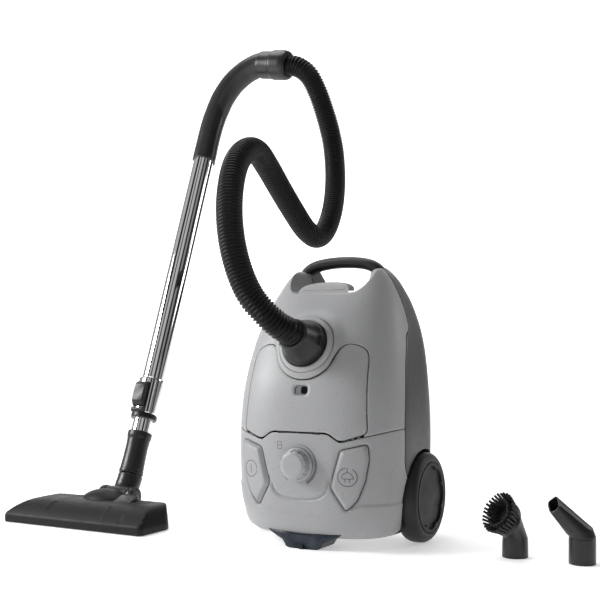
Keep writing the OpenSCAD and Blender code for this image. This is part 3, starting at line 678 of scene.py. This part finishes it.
# window of the bag indicator, sunk behind its slot
v = [on_front(x, z, -2.6) for x in np.linspace(-12.5, 12.5, 14) for z in np.linspace(215, 233, 10)]
mesh("indicator window", v, strips(14, 10, closed=False, flip=True), GREY_MARK, "lid",
     stands_for=("bag_indicator",))
FLAG = round_poly([[0, 219], [9.5, 219], [9.5, 229], [0, 229]], 3)
n = len(FLAG)
v = [on_front(x, z, out) for out in (-1.2, -2.7) for x, z in FLAG]
mesh("indicator flag", v, end_caps(2, n)[:1] + strips(2, n), WINDOW, "lid")

# inlet collar and connector
lathe("inlet ring",
      rounded([(42.1, -8), (42.1, 5.5), (39.8, 8.2), (36.2, 9.4), (34.2, 8.2), (34.2, -6)], 1.6), INLET,
      INLET_AXIS, GREY, "lid", sides=120, stands_for=("inlet_collar",))
lathe("hose connector", rounded([(17.5, -12), (28, -12), (33.4, 1), (33.4, 12), (32.2, 19.5), (28.6, 27),
                                 (25.6, 36), (23.6, 42.5), (22.6, 47.5), (20.2, 49.4), (18.0, 48),
                                 (17.2, 36)], 2.2), INLET, INLET_AXIS, DARK, "connector", sides=120,
      stands_for=("connector",))
lathe("hose rim", rounded([(20.4, 47.8), (22.0, 49.4), (21.2, 50.8), (19.4, 50.4)], 0.7), INLET, INLET_AXIS,
      DARK,
      "connector", sides=96)

# carrying handle
x = np.linspace(-67, 67, 110)
hp = np.stack([x, np.full_like(x, 95.0), 412.6 - 8 * (np.abs(x) / 62) ** 2 - 15 * (np.abs(x) / 67) ** 7], -1)
ht = np.gradient(hp, axis=0)
ht /= np.linalg.norm(ht, axis=1)[:, None]
hs = np.cross(ht, [0, 1.0, 0])
sides = 40
a = np.arange(sides) * 2 * math.pi / sides
sx = np.sign(np.cos(a)) * np.abs(np.cos(a)) ** 0.85 * 12.5
sy = np.sign(np.sin(a)) * np.abs(np.sin(a)) ** 0.85 * 8.6
v = (hp[:, None, :] + sx[None, :, None] * np.array([0, 1.0, 0])
     + sy[None, :, None] * hs[:, None, :]).reshape(-1, 3)
mesh("carrying grip", v, strips(len(hp), sides) + end_caps(len(hp), sides), GRIP, "housing",
     stands_for=("carry_handle",))

# latch: a half moon with a rounded top edge, set in the roof
v = []
m_u, m_v = 48, 10
for j in range(m_v + 1):
    k = j / m_v
    for i in range(m_u + 1):
        ang = math.pi * i / m_u
        xx, zz = 41.0 * math.cos(ang), 361.5 + (14.0 * math.sin(ang) ** 0.6 + 3.1) * k
        yy = float(front_y(np.array(xx), np.array(zz))) + 0.6
        if j == m_v:
            yy += 1.1
        v.append((xx * (1 if j < m_v else 0.995), yy, zz))
base = len(v)
for i in range(m_u + 1):
    q = v[m_v * (m_u + 1) + i]
    v.append((q[0] * 0.985, q[1] + 2.2, q[2] + 0.9))
for i in range(m_u + 1):
    q = v[base + i]
    v.append((q[0], 52.0, q[2] + 1.0))
mesh("lid latch", v, strips(m_v + 3, m_u + 1, closed=False), GREY, "lid_latch", stands_for=("lid_latch",),
     angle=50)

v = []
for j in range(9):
    k = j / 8
    for i in range(41):
        ang = math.pi * i / 40
        xx, zz = 34.0 * math.cos(ang), 367.2 + 8.6 * k * math.sin(ang) ** 0.8
        sunk = 0.9 if j in (0, 8) or i in (0, 40) else -0.3
        v.append((xx, float(front_y(np.array(xx), np.array(zz))) + sunk, zz))
mesh("latch face", v, strips(9, 41, closed=False), GREY, "lid_latch", angle=60)

# floor of the gap behind the latch
v = []
for xx in np.linspace(-52, 52, 27):
    for k in np.linspace(0, 1, 10):
        y0 = float(front_y(np.array(xx), np.array(363.4))) + 1.0
        v.append((xx * (1 - 0.14 * k), y0 + (87.4 - y0) * k, 363.3 + 3.2 * k))
mesh("gap floor", v, strips(27, 10, closed=False, flip=True), GREY, "lid")


def foot():
    """The parking foot: a sculpted shoe with a scooped tongue."""
    nx = 97
    xs = np.linspace(-62, 62, nx)
    ax = np.abs(xs)
    bottom = np.interp(ax, [0, 22, 27, 33, 44, 52, 62], [0, 0, 1.8, 10.5, 15.0, 18.5, 25.5])
    top = np.interp(ax, [0, 14, 26, 36, 48, 62], [20, 20.5, 24.5, 24.0, 25.5, 28.0])
    front = -35.5 + 8.0 * (ax / 62) ** 2
    ring = []
    for k in np.linspace(0, 1, 9):
        zz = bottom + (top - bottom) * k
        scoop = 4.5 * np.exp(-(ax / 17) ** 4) * math.sin(math.pi * min(k * 1.1, 1)) + 3.0 * (k ** 3)
        ring.append(np.stack([xs, front + scoop + 2.4 * (1 - k) ** 6, zz], -1))
    ring.append(np.stack([xs, front + 10, top + 1.0], -1))
    back = np.full(nx, 12.0)
    rows = [np.stack([xs, back, top], -1), np.stack([xs, back, bottom], -1),
            np.stack([xs, front + 2.4 + 1.5, bottom], -1)] + ring
    verts = [tuple(q) for row in rows for q in row]
    return mesh("parking shoe", verts, strips(len(rows), nx, closed=False, flip=True), NAVY, "housing",
                angle=38,
                stands_for=("parking_foot",))


foot()
# a box of two rings of four points, open at its far end
OPEN_BOX = [(0, 1, 2, 3), (0, 4, 5, 1), (1, 5, 6, 2), (2, 6, 7, 3), (3, 7, 4, 0)]
v = [(-3.2, -36.3, 0.2), (3.2, -36.3, 0.2), (2.4, -36.3, 6.5), (-2.4, -36.3, 6.5)]
v += [(p[0], -33.0, p[2]) for p in v]
mesh("foot notch", v, OPEN_BOX, BLACK, "housing", smooth=False)

# castor cup in the back
lathe("castor cup", [(26.6, 0), (26.6, 27), (25.2, 28), (5.2, 28)], (0, 154, 300), (0, -1, 0), SHELL,
      "housing",
      sides=72)

# underside of the housing
ring = surface(np.arange(200) / 200, np.full(200, Z0))
c = ring.mean(0)
v = [tuple(q) for q in ring] + [tuple(c + (q - c) * 0.94 - np.array([0, 0, 2.0])) for q in ring]
mesh("bottom edge", v, strips(2, 200) + end_caps(2, 200)[1:], GREY, "housing")

# wheels
CAP_R = 51.2                # radius of the hub cap
LINER_R = ARCH_R + 0.2
for s, side in ((-1, "left"), (1, "right")):
    c = np.array([s * 109.0, AXLE[0], AXLE[1]])
    ax = (s, 0, 0)
    prof = [(51.4, 2), (56, 0.4), (60.5, 1.6), (63.6, 4.6), (65.4, 9), (66, 15), (66, 20), (65.4, 25),
            (63.4, 29.2),
            (60.6, 32), (57.6, 33.6), (56.4, 33.9), (55.9, 33.5), (55.4, 33.9), (53.2, 34.0), (51.6, 33.2),
            (CAP_R, 30)]
    lathe(side + " tyre ring", rounded(prof, 1.2, 2), c, ax, TYRE, side + "_wheel", sides=160,
          stands_for=(side + "_tyre",))
    # rows are (share of the radius, height), or "w" where the row follows the wavy edge
    n_a, verts = 256, []
    rows = [(1.0, 30.0), (1.0, 33.6), (0.985, 34.3), (0.955, 34.4), ("w", 34.2, 1.012), ("w", 33.6, 1.0),
            ("w", 31.4, 0.985), ("w", 31.0, 0.965), ("w", 31.0, 0.9), (0.55, 31.3), (0.3, 31.9), (0.12, 32.2),
            (0.001, 32.3)]
    for row in rows:
        for i in range(n_a):
            t = 2 * math.pi * i / n_a
            wave = 0.86 + 0.045 * (abs(math.cos(4 * t)) ** 0.6 * 2 - 1)
            rr = CAP_R * (row[0] if row[0] != "w" else wave * row[2])
            h = row[1]
            verts.append((c[0] + s * h, c[1] + rr * math.cos(t), c[2] + rr * math.sin(t)))
    mesh(side + " hub cap", verts, strips(len(rows), n_a), HUB, side + "_wheel", angle=30,
         stands_for=(side + "_hub",))
    # arch liner behind the wheel, left out under the housing
    v = []
    for i in range(96):
        t = 2 * math.pi * i / 96
        for xx in (CUP_X, 124):
            v.append((s * xx, AXLE[0] + LINER_R * math.cos(t), AXLE[1] + LINER_R * math.sin(t)))
    keep = [i for i in range(96) if v[2 * i][2] > 24]
    f = [(2 * i, 2 * ((i + 1) % 96), 2 * ((i + 1) % 96) + 1, 2 * i + 1) for i in keep]
    f.append([2 * i for i in keep])
    mesh(side + " arch", v, f, BLACK, "housing")

# ---- hose ----
HOSE_ROUTE = [[-250, 368, 815], [-230, 371, 809], [-212, 378, 793], [-200, 388, 765], [-190, 398, 728],
              [-181, 404, 690], [-174, 406, 650], [-166, 396, 595], [-157, 368, 540], [-150, 328, 497],
              [-146, 285, 478], [-144, 240, 487], [-142, 195, 512], [-138, 145, 541], [-131, 92, 569],
              [-121, 45, 583], [-112, 2, 578], [-104, -38, 556], [-95, -68, 522], [-85, -90, 478],
              [-73, -102, 432], [-58, -107, 390], [-40, -107, 355], [-21, -99, 330], [-8, -86, 314],
              [-1.5, -76, 308], [0, -69.2, 305], [0, -63.8, 303]]
PITCH = 5.2     # from rib to rib
# one rib: (share of the pitch, height from 0 to 1)
RIB = [(0.00, 0.0), (0.10, 0.9), (0.20, 1.0), (0.38, 1.0), (0.50, 0.86), (0.60, 0.0), (0.80, -0.1)]
pts, tan, at = route(HOSE_ROUTE, PITCH / len(RIB))
side_ = frames(tan, [0, 1.0, 0])
k = np.arange(len(pts)) % len(RIB)
r = 16.9 + 2.1 * np.array([RIB[i][1] for i in k])
cuts = [int(round(len(pts) * q / 4 / len(RIB))) * len(RIB) for q in range(5)]
cuts[4] = len(pts) - 1
order = [("handle", "wand"), ("wand", "neck"), ("neck", "housing"), ("housing", "lid")]
for q in range(4):
    i0, i1 = cuts[q], cuts[q + 1] + 1
    vv, ff = tube(pts[i0:i1], side_[i0:i1], tan[i0:i1], r[i0:i1], 32)
    ob = mesh(f"hose {q + 1}", vv, ff, HOSE, None, angle=60)
    if q == 0:
        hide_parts("hose")
    a_, b_ = order[q]
    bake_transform(ob)

# ---- handle, cuff and wand ----
LEAN = math.radians(21)
WAND = np.array([-393, 66, 38.0])
U = np.array([0, math.sin(LEAN), math.cos(LEAN)])


def wand(x, s):
    """The point s along the wand and x to its side."""
    return WAND + np.array([x, 0, 0]) + U * s


CURVE = [[0, 640], [0, 700], [3, 738], [11, 776], [27, 808], [49, 829], [64, 837], [79, 842]]
mid_line = [wand(x, s) for x, s in CURVE] + [np.array([-302, 367.8, 822.5])]
pts, tan, at = route(mid_line, 2.5)
hs = frames(tan, [1.0, 0, 0])
rad = np.interp(at, [0, 15, 40, at[-1]], [21.6, 21.5, 21.2, 22.2])
vv, ff = tube(pts, hs, tan, rad, 64)
ff += [list(range(64))[::-1]]
mesh("handle", vv, ff, DARK, "handle", stands_for=("handle_tube",))
# lighter insert along the inner side of the bend
i0 = int(np.searchsorted(at, 95))
arc = np.radians(np.linspace(-62, 62, 24))
up = np.cross(tan, hs)
v = []
sel = range(i0, len(pts) - 3)
for q, j in enumerate(sel):
    w = min(1.0, (q + 0.3) / 9)
    for aa in arc:
        rr = rad[j] + 0.5
        v.append(pts[j] + rr * (math.cos(aa * w) * hs[j] + math.sin(aa * w) * up[j]))
mesh("handle insert", v, strips(len(sel), 24, closed=False), INSERT, "handle", stands_for=("handle_grip",))
CUFF = np.array([-314, 367.8, 824.0])
CUFF_END = np.array([-250, 368, 815.0])
CD = (CUFF_END - CUFF) / np.linalg.norm(CUFF_END - CUFF)
lathe("cuff", rounded([(21.5, 4), (25.2, 6.0), (25.6, 9), (25.8, 31), (27.2, 33), (27.8, 35.5), (27.8, 56),
                       (27.0, 60), (25.2, 64.5), (21.5, 66.5), (19.0, 66.5), (19.0, 40)], 1.6), CUFF, CD,
                       DARK,
      "hose_cuff", sides=120, stands_for=("hose_cuff",))
side_dir = np.array([0.55, -0.82, 0.15])
side_dir -= np.dot(side_dir, CD) * CD
side_dir /= np.linalg.norm(side_dir)
top = np.cross(CD, side_dir)
c = CUFF + CD * 57 + side_dir * 27.35
v = [c + CD * a * 1.6 + top * b * 3.6 + side_dir * d for d in (0.35, -1.5)
     for a, b in ((-1, -1), (1, -1), (1, 1), (-1, 1))]
mesh("cuff slot", v, OPEN_BOX, BLACK, "hose_cuff", smooth=False)

lathe("upper chrome tube",
      rounded([(18.75, 140), (18.75, 655), (18.2, 656.4), (17.2, 656.4), (17.2, 640)], 0.5),
      WAND, U, CHROME, "handle", sides=128, stands_for=("upper_tube",))
lathe("lower chrome tube", rounded([(16.5, 60), (16.5, 598), (15.4, 599), (15.4, 560)], 0.4), WAND, U, CHROME,
      "wand", sides=128, stands_for=("lower_tube",))
lathe("sleeve ring", rounded([(17.0, 130.5), (21.4, 130.5), (22.2, 131.6), (22.2, 138.2), (21.4, 139.4),
                              (19, 139.4)], 0.5), WAND, U, BLACK, "handle", sides=96)
lathe("sleeve", rounded([(17.0, 139), (20.8, 139.3), (21.4, 141), (21.4, 200), (20.9, 202.6), (19.2, 203),
                         (18.8, 200)], 0.6), WAND, U, CHROME, "handle", sides=128,
      stands_for=("telescope_sleeve",))
Y_ = np.array([0, -math.cos(LEAN), math.sin(LEAN)])


def block(name, outline, x0, x1, mat, body, bevel=1.2, stands_for=()):
    """A slab in the wand's own directions: outline is (distance in front, along the wand)."""
    n_ = len(outline)
    v_ = [WAND + np.array([xx, 0, 0]) + Y_ * a_ + U * s_ for xx in (x0, x1) for a_, s_ in outline]
    f_ = [list(range(n_)), list(range(n_, 2 * n_))[::-1]] + strips(2, n_, flip=True)
    ob_ = mesh(name, v_, f_, mat, None, smooth=False)
    m_ = ob_.modifiers.new("edge", "BEVEL")
    m_.width = bevel / 1000
    m_.segments = 3
    shade(ob_, 40)
    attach(ob_, body)
    if stands_for:
        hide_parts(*stands_for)
    return ob_


block("telescope key", [(17, 147), (25, 149), (30, 156), (31, 172), (30, 187), (25.5, 192), (17, 193)], -11,
      11, BLACK,
      "telescope_button", 1.4, stands_for=("telescope_button",))
block("telescope key frame", [(16, 138), (23, 138.5), (25, 143), (24, 146.2), (16, 146.4)], -13, 13, BLACK,
      "handle", 1.2)
block("telescope key seat", [(16, 146), (20, 146), (20, 201), (16, 201)], -13, 13, BLACK, "handle", 1.0)

# neck
lathe("upper neck", rounded([(14.3, 33.5), (19.8, 33.5), (20.8, 35), (20.8, 40), (20.2, 41.6), (19.2, 60),
                             (18.8, 80), (19.4, 94), (20.6, 98), (20.8, 106), (19.8, 107.2), (16.8, 107.2),
                             (16.8, 90)], 1.4), WAND, U, DARK, "wand", sides=96, stands_for=("neck_upper",))
pts, tan, at = route([wand(0, 33.0), wand(0, 24), (-393, 66, 47), (-393, 55, 37), (-393, 44, 31)], 1.6)
rad = np.interp(at, [0, 1.2, 3, at[-1] * 0.4, at[-1]], [19.4, 20.4, 20.6, 20.6, 17.0])
vv, ff = tube(pts, frames(tan, [1.0, 0, 0]), tan, rad, 72)
mesh("lower neck", vv, ff + end_caps(len(pts), 72), DARK, "neck")
lathe("neck barrel", rounded([(5.4, -24), (15.6, -24), (17, -22.4), (17, 22.4), (15.6, 24), (5.4, 24)], 1.0),
      (-393, 48, 36), (1, 0, 0), DARK, "neck", sides=96, stands_for=("neck_lower",))
for s in (-1, 1):
    lathe("neck cheek", rounded([(0.1, 24.4), (16.4, 24.4), (17.6, 26), (17.6, 31), (16.2, 34), (12.5, 35.2),
                                 (0.1, 35.6)], 1.4), (-393, 48, 36), (s, 0, 0), DARK, "housing", sides=96)

# ---- floor nozzle ----
NX0, NY0, NW, ND = -534.0, -75.0, 282.0, 106.0     # corner, width and depth
BRIM = 13.4                                         # height of the cover's edge


def plan(g, n_=200):
    """Outline of the nozzle, inset by g, even along its length."""
    pts_ = []
    for cx, cy, rx, ry, a0 in ((8, 8, 8, 8, 180), (NW - 8, 8, 8, 8, 270), (NW - 80, ND - 46, 80, 46, 0),
                               (80, ND - 46, 80, 46, 90)):
        for a_ in np.radians(np.arange(a0, a0 + 91, 5)):
            pts_.append((cx + (rx - g) * math.cos(a_), cy + (ry - g) * math.sin(a_)))
    p_ = np.array(pts_ + pts_[:1])
    s_ = np.concatenate([[0], np.cumsum(np.hypot(*np.diff(p_, axis=0).T))])
    at_ = np.linspace(0, s_[-1], n_, endpoint=False)
    return np.column_stack([np.interp(at_, s_, p_[:, 0]), np.interp(at_, s_, p_[:, 1])])


def nozzle():
    """The nozzle's cover: a rim, then rings that rise and close over its middle."""
    n_ = 480
    centre_ = np.array([NW / 2, 54.0])
    rows = [(3.0, 2.0), (0.5, 1.2), (0.0, 2.0), (0.0, 10.0), (0.2, 12.0), (0.7, BRIM)]
    verts_ = [(NX0 + a_, NY0 + b_, z_) for g, z_ in rows for a_, b_ in plan(g, n_)]
    ring = plan(0.7, n_)
    levels = 26

    def rise(v_, top_, width_, p_):
        return BRIM + top_ * (1 - (1 - np.clip(v_ / width_, 0, 1)) ** p_)

    for k_ in range(1, levels + 1):
        w_ = (k_ / levels) ** 1.25
        for a_, b_ in ring:
            xx_, yy_ = centre_ + (np.array([a_, b_]) - centre_) * (1 - w_)
            hs_ = [rise(xx_ - 0.7, 28.0, 60, 2.6), rise(NW - 0.7 - xx_, 28.0, 24, 2.6),
                   rise(yy_ - 0.7, 26.5, 66, 2.7), rise(ND - 0.7 - yy_, 28.0, 15, 2.0)]
            h_ = -math.log(sum(math.exp(-0.45 * q_) for q_ in hs_)) / 0.45 + 0.6
            crest = math.exp(-((abs(xx_ - NW / 2) - 62 + 0.16 * yy_) / 2.0) ** 2) * step(yy_, 3, 12)
            groove = math.exp(-((abs(xx_ - NW / 2) - 96) / 0.7) ** 2)
            verts_.append((NX0 + xx_, NY0 + yy_, max(h_, BRIM) + 1.2 * crest - 0.9 * groove))
    return mesh("nozzle top", verts_, strips(len(rows) + levels, n_), SOOT, "housing", angle=34,
                stands_for=("nozzle_cover",))


nozzle()
q = plan(0.6, 160)
v = [(NX0 + a_, NY0 + b_, z_) for z_ in (2.0, 3.2) for a_, b_ in q]
mesh("nozzle skirt", v, strips(2, 160), BLACK, "housing")
# dome over the joint
v = []
for k in np.linspace(0, 1, 14):
    ang = k * math.pi / 2
    for i in range(64):
        t = 2 * math.pi * i / 64
        v.append((-393 + 46 * math.cos(ang) * math.cos(t), 14 + 32 * math.cos(ang) * math.sin(t),
                  30 + 23 * math.sin(ang)))
mesh("joint dome", v, strips(14, 64), SOOT, "housing")

# pedal: a rounded plate over the right of the joint
v = []
for z_, g in ((-4.2, 2.2), (-3.4, 0.8), (-2.0, 0.0), (1.4, 0.0), (2.8, 0.9), (3.4, 2.6)):
    for a_, b_ in round_poly([[g, g], [34 - g, g], [34 - g, 36 - g], [g, 36 - g]], 9, 6):
        lift = 33.0 + b_ * 0.36 - 0.0045 * (b_ - 18) ** 2 + z_
        v.append((-356 + a_, -22 + b_, lift))
n = len(v) // 6
mesh("pedal plate", v, strips(6, n) + end_caps(6, n), DARK, "pedal", stands_for=("nozzle_pedal",))
v = [(-356 + 17 + 6.5 * math.cos(t) * k, -22 + 17 + 6.5 * math.sin(t) * k,
      33.0 + (17 + 6.5 * math.sin(t) * k) * 0.36 + 3.46)
     for k in (0.86, 1.0) for t in np.linspace(0, 2 * math.pi, 40, endpoint=False)]
mesh("pedal mark", v, strips(2, 40), INSERT, "pedal")

# ---- loose tools ----
def tilted(x_deg, y_deg):
    """Directions of a frame turned about X and then about Y."""
    a_, b_ = math.radians(x_deg), math.radians(y_deg)
    rx = np.array([[1, 0, 0], [0, math.cos(a_), -math.sin(a_)], [0, math.sin(a_), math.cos(a_)]])
    ry = np.array([[math.cos(b_), 0, math.sin(b_)], [0, 1, 0], [-math.sin(b_), 0, math.cos(b_)]])
    return ry @ rx


def loft(name, rings, mat, body, **kw):
    """A skin over rings, closed at the last one."""
    n_ = len(rings[0])
    v_ = [tuple(p_) for r_ in rings for p_ in r_]
    return mesh(name, v_, strips(len(rings), n_) + end_caps(len(rings), n_)[1:], mat, body, **kw)


def ring_of(centre, basis, a_, b_, power=2.0, sides=72):
    """An oval ring across the basis' third direction."""
    out = []
    for t_ in np.linspace(0, 2 * math.pi, sides, endpoint=False):
        c_, s_ = math.cos(t_), math.sin(t_)
        out.append(np.array(centre, float) + basis @ np.array([
            a_ * math.copysign(abs(c_) ** (2 / power), c_), b_ * math.copysign(abs(s_) ** (2 / power), s_),
            0]))
    return out


def blend_rings(r0, r1, n_):
    """n_ rings that turn smoothly from r0 into r1."""
    return [[p_ + (q_ - p_) * step(np.array(k_), 0, 1) for p_, q_ in zip(r0, r1)]
            for k_ in np.linspace(0, 1, n_)]


eye = np.eye(3)
SOCKET = ((0, 15.7), (0, 16.9), (0.6, 17.4), (1.6, 17.5))     # (height, radius) of the foot of both tools
head = tilted(42, -40)
B0 = np.array([278, 60, 0.0])
hc = B0 + np.array([-6, -8, 50.0])
low = ring_of(B0 + [0, 0, 27], eye, 16.8, 16.8)
rings = [ring_of(B0 + [0, 0, z_], eye, r_, r_) for z_, r_ in SOCKET + ((20, 17.2), (27, 16.8))]
rings += blend_rings(low, ring_of(hc - head @ [0, 0, 1.0], head, 18.5, 24.5), 12)[1:]
rings += [ring_of(hc + head @ [0, 0, h_], head, a_, a_ * 1.3)
          for h_, a_ in ((1.2, 21.4), (2.4, 21.8), (6.6, 21.8), (7.6, 21.4), (7.9, 20.4), (5.5, 20.0),
                         (5.5, 0.5))]
loft("brush body", rings, DARK, "dusting_brush", angle=32, stands_for=("dusting_brush",))
rng = np.random.default_rng(7)
v, f = [], []
for scale_, count, lean in ((0.90, 30, 0.36), (0.66, 24, 0.16)):
    for i in range(count):
        t = 2 * math.pi * (i + 0.5 * (scale_ < 0.8)) / count
        base_ = hc + head @ np.array([22 * scale_ * math.cos(t), 28.5 * scale_ * math.sin(t), 5.0])
        way = head @ np.array([lean * math.cos(t), lean * math.sin(t), 1.0]) + rng.normal(0, 0.02, 3)
        way /= np.linalg.norm(way)
        tip = base_ + way * (19.5 + rng.uniform(-0.6, 0.6))
        _, u_, w_ = rotate_to(way)
        k0 = len(v)
        for c_, r_ in ((base_, 1.6), (tip - way * 0.6, 1.75), (tip, 1.1)):
            for q in range(7):
                aa = 2 * math.pi * q / 7
                v.append(c_ + r_ * (math.cos(aa) * u_ + math.sin(aa) * w_))
        f += [[k0 + q for q in face] for face in strips(3, 7) + end_caps(3, 7)[1:]]
mesh("brush tufts", v, f, BRISTLE, "dusting_brush")

mouth = tilted(36, -40)
C0 = np.array([368, 60, 0.0])
mc = C0 + np.array([-34, -12, 76.0])
rings = [ring_of(C0 + [0, 0, z_], eye, r_, r_)
         for z_, r_ in SOCKET + ((30, 17.5), (33.4, 17.4), (33.9, 17.0), (34.3, 17.4), (36, 17.4))]
elbow = ring_of(C0 + [-3.5, -1.0, 43], tilted(5, -14), 17.2, 17.0, 2.1)
rings += blend_rings(rings[-1], elbow, 4)[1:]
end_ = ring_of(mc, mouth, 9.0, 13.6, 3.6)
rings += [[p_ + (q_ - p_) * k_ for p_, q_ in zip(elbow, end_)] for k_ in np.linspace(0, 1, 12)[1:]]
rings += [ring_of(mc + mouth @ [0, 0, h_], mouth, a_, b_, 3.6)
          for h_, a_, b_ in ((1.0, 8.8, 13.4), (1.3, 8.2, 12.8), (0.9, 7.3, 11.9), (-12, 6.8, 11.4))]
loft("crevice body", rings, DARK, "crevice_nozzle", angle=32, stands_for=("crevice_nozzle",))
loft("crevice inside", [ring_of(mc + mouth @ [0, 0, h_], mouth, 7.2, 11.8, 3.6) for h_ in (-0.2, -11)], BLACK,
     "crevice_nozzle")

# ---- the CAD nodes ----
node_slots = {part["node"]: part["material_slot"] for part in frame["record"]["subparts"]}
for name, node in NODES.items():
    node.data.materials.clear()
    # the steel hinge pin and latch spring in DARKENED get black as painted shade of the seam
    node.data.materials.append(BLACK if name in DARKENED else FINISHES[node_slots[name]])
    shade(node, 35)

# ---- floor, wall, light ----
bm = bmesh.new()
bmesh.ops.create_grid(bm, x_segments=2, y_segments=2, size=30)
me = bpy.data.meshes.new("floor")
bm.to_mesh(me)
floor = bpy.data.objects.new("floor", me)
bpy.context.scene.collection.objects.link(floor)
pale = bpy.data.materials.new("pale floor")
pale.use_nodes = True
pb = pale.node_tree.nodes["Principled BSDF"]
pb.inputs["Base Color"].default_value = (0.93, 0.93, 0.93, 1)
pb.inputs["Roughness"].default_value = 0.75
pb.inputs["Specular IOR Level"].default_value = 0.2
me.materials.append(pale)

world = bpy.data.worlds.new("studio")
bpy.context.scene.world = world
world.use_nodes = True
wn, wl = world.node_tree.nodes, world.node_tree.links
tc = wn.new("ShaderNodeTexCoord")
xyz = wn.new("ShaderNodeSeparateXYZ")
wl.new(tc.outputs["Generated"], xyz.inputs["Vector"])
turn = wn.new("ShaderNodeMath")
turn.operation = "ARCTAN2"
wl.new(xyz.outputs["Y"], turn.inputs[0])
wl.new(xyz.outputs["X"], turn.inputs[1])
turn01 = wn.new("ShaderNodeMapRange")
turn01.inputs["From Min"].default_value = -math.pi
turn01.inputs["From Max"].default_value = math.pi
wl.new(turn.outputs[0], turn01.inputs["Value"])
bands = wn.new("ShaderNodeValToRGB")
bands.color_ramp.interpolation = "EASE"
# light and dark bands all round the studio, for the chrome: (degrees round, brightness)
BANDS = [(-180, 0.6), (-165, 1.0), (-142, 0.9), (-130, 0.04), (-112, 0.04), (-104, 0.95), (-90, 1.0),
         (-82, 0.10), (-74, 0.10), (-68, 1.0), (-46, 0.9), (-36, 0.04), (-26, 0.04), (-20, 0.5), (-8, 0.5),
         (0, 0.04), (14, 0.04), (22, 0.55), (36, 0.45), (44, 0.05), (90, 0.04), (112, 0.05), (122, 0.4),
         (150, 0.5), (180, 0.6)]
ramp_ = bands.color_ramp
while len(ramp_.elements) < len(BANDS):
    ramp_.elements.new(0.5)
# the places are set twice, because the ramp sorts its stops as they move
for el, (deg, val) in zip(ramp_.elements, BANDS):
    el.position = (deg + 180) / 360
for el, (deg, val) in zip(ramp_.elements, BANDS):
    el.position = (deg + 180) / 360
    el.color = (val, val, val, 1)
wl.new(turn01.outputs["Result"], bands.inputs["Fac"])
bg = wn["Background"]
wl.new(bands.outputs["Color"], bg.inputs["Color"])
bg.inputs["Strength"].default_value = 0.5

# a white wall far off, behind the object from the camera
v = []
for i in range(41):
    t = math.radians(84 + 70 * i / 40)
    for z_ in (-10.0, 9000.0):
        v.append((7000 * math.cos(t), 7000 * math.sin(t), z_))
me = bpy.data.meshes.new("backdrop")
me.from_pydata([(a_ / 1000, b_ / 1000, c_ / 1000) for a_, b_, c_ in v], [],
               [(2 * i, 2 * i + 2, 2 * i + 3, 2 * i + 1) for i in range(40)])
wall = bpy.data.objects.new("backdrop", me)
bpy.context.scene.collection.objects.link(wall)
wm = bpy.data.materials.new("white wall")
wm.use_nodes = True
wb = wm.node_tree.nodes["Principled BSDF"]
wb.inputs["Base Color"].default_value = (0.8, 0.8, 0.8, 1)
wb.inputs["Emission Color"].default_value = (1, 1, 1, 1)
wb.inputs["Emission Strength"].default_value = 1.0
me.materials.append(wm)
pb.inputs["Emission Color"].default_value = (1, 1, 1, 1)
pb.inputs["Emission Strength"].default_value = 0.42


def light(name, place, target, size, power):
    """A soft square lamp that faces its target."""
    d_ = bpy.data.lights.new(name, "AREA")
    d_.energy = power
    d_.size = size
    o_ = bpy.data.objects.new(name, d_)
    bpy.context.scene.collection.objects.link(o_)
    o_.location = place
    o_.rotation_euler = (Vector(target) - Vector(place)).to_track_quat("-Z", "Y").to_euler()


light("key", (-2.0, -1.1, 1.25), (-0.1, 0, 0.3), 1.0, 58)
light("top", (-0.6, 0.3, 2.4), (-0.1, 0, 0.2), 1.3, 24)
light("rim", (1.5, 1.6, 1.1), (0, 0.1, 0.3), 0.8, 8)
bpy.context.scene.view_settings.view_transform = "Standard"
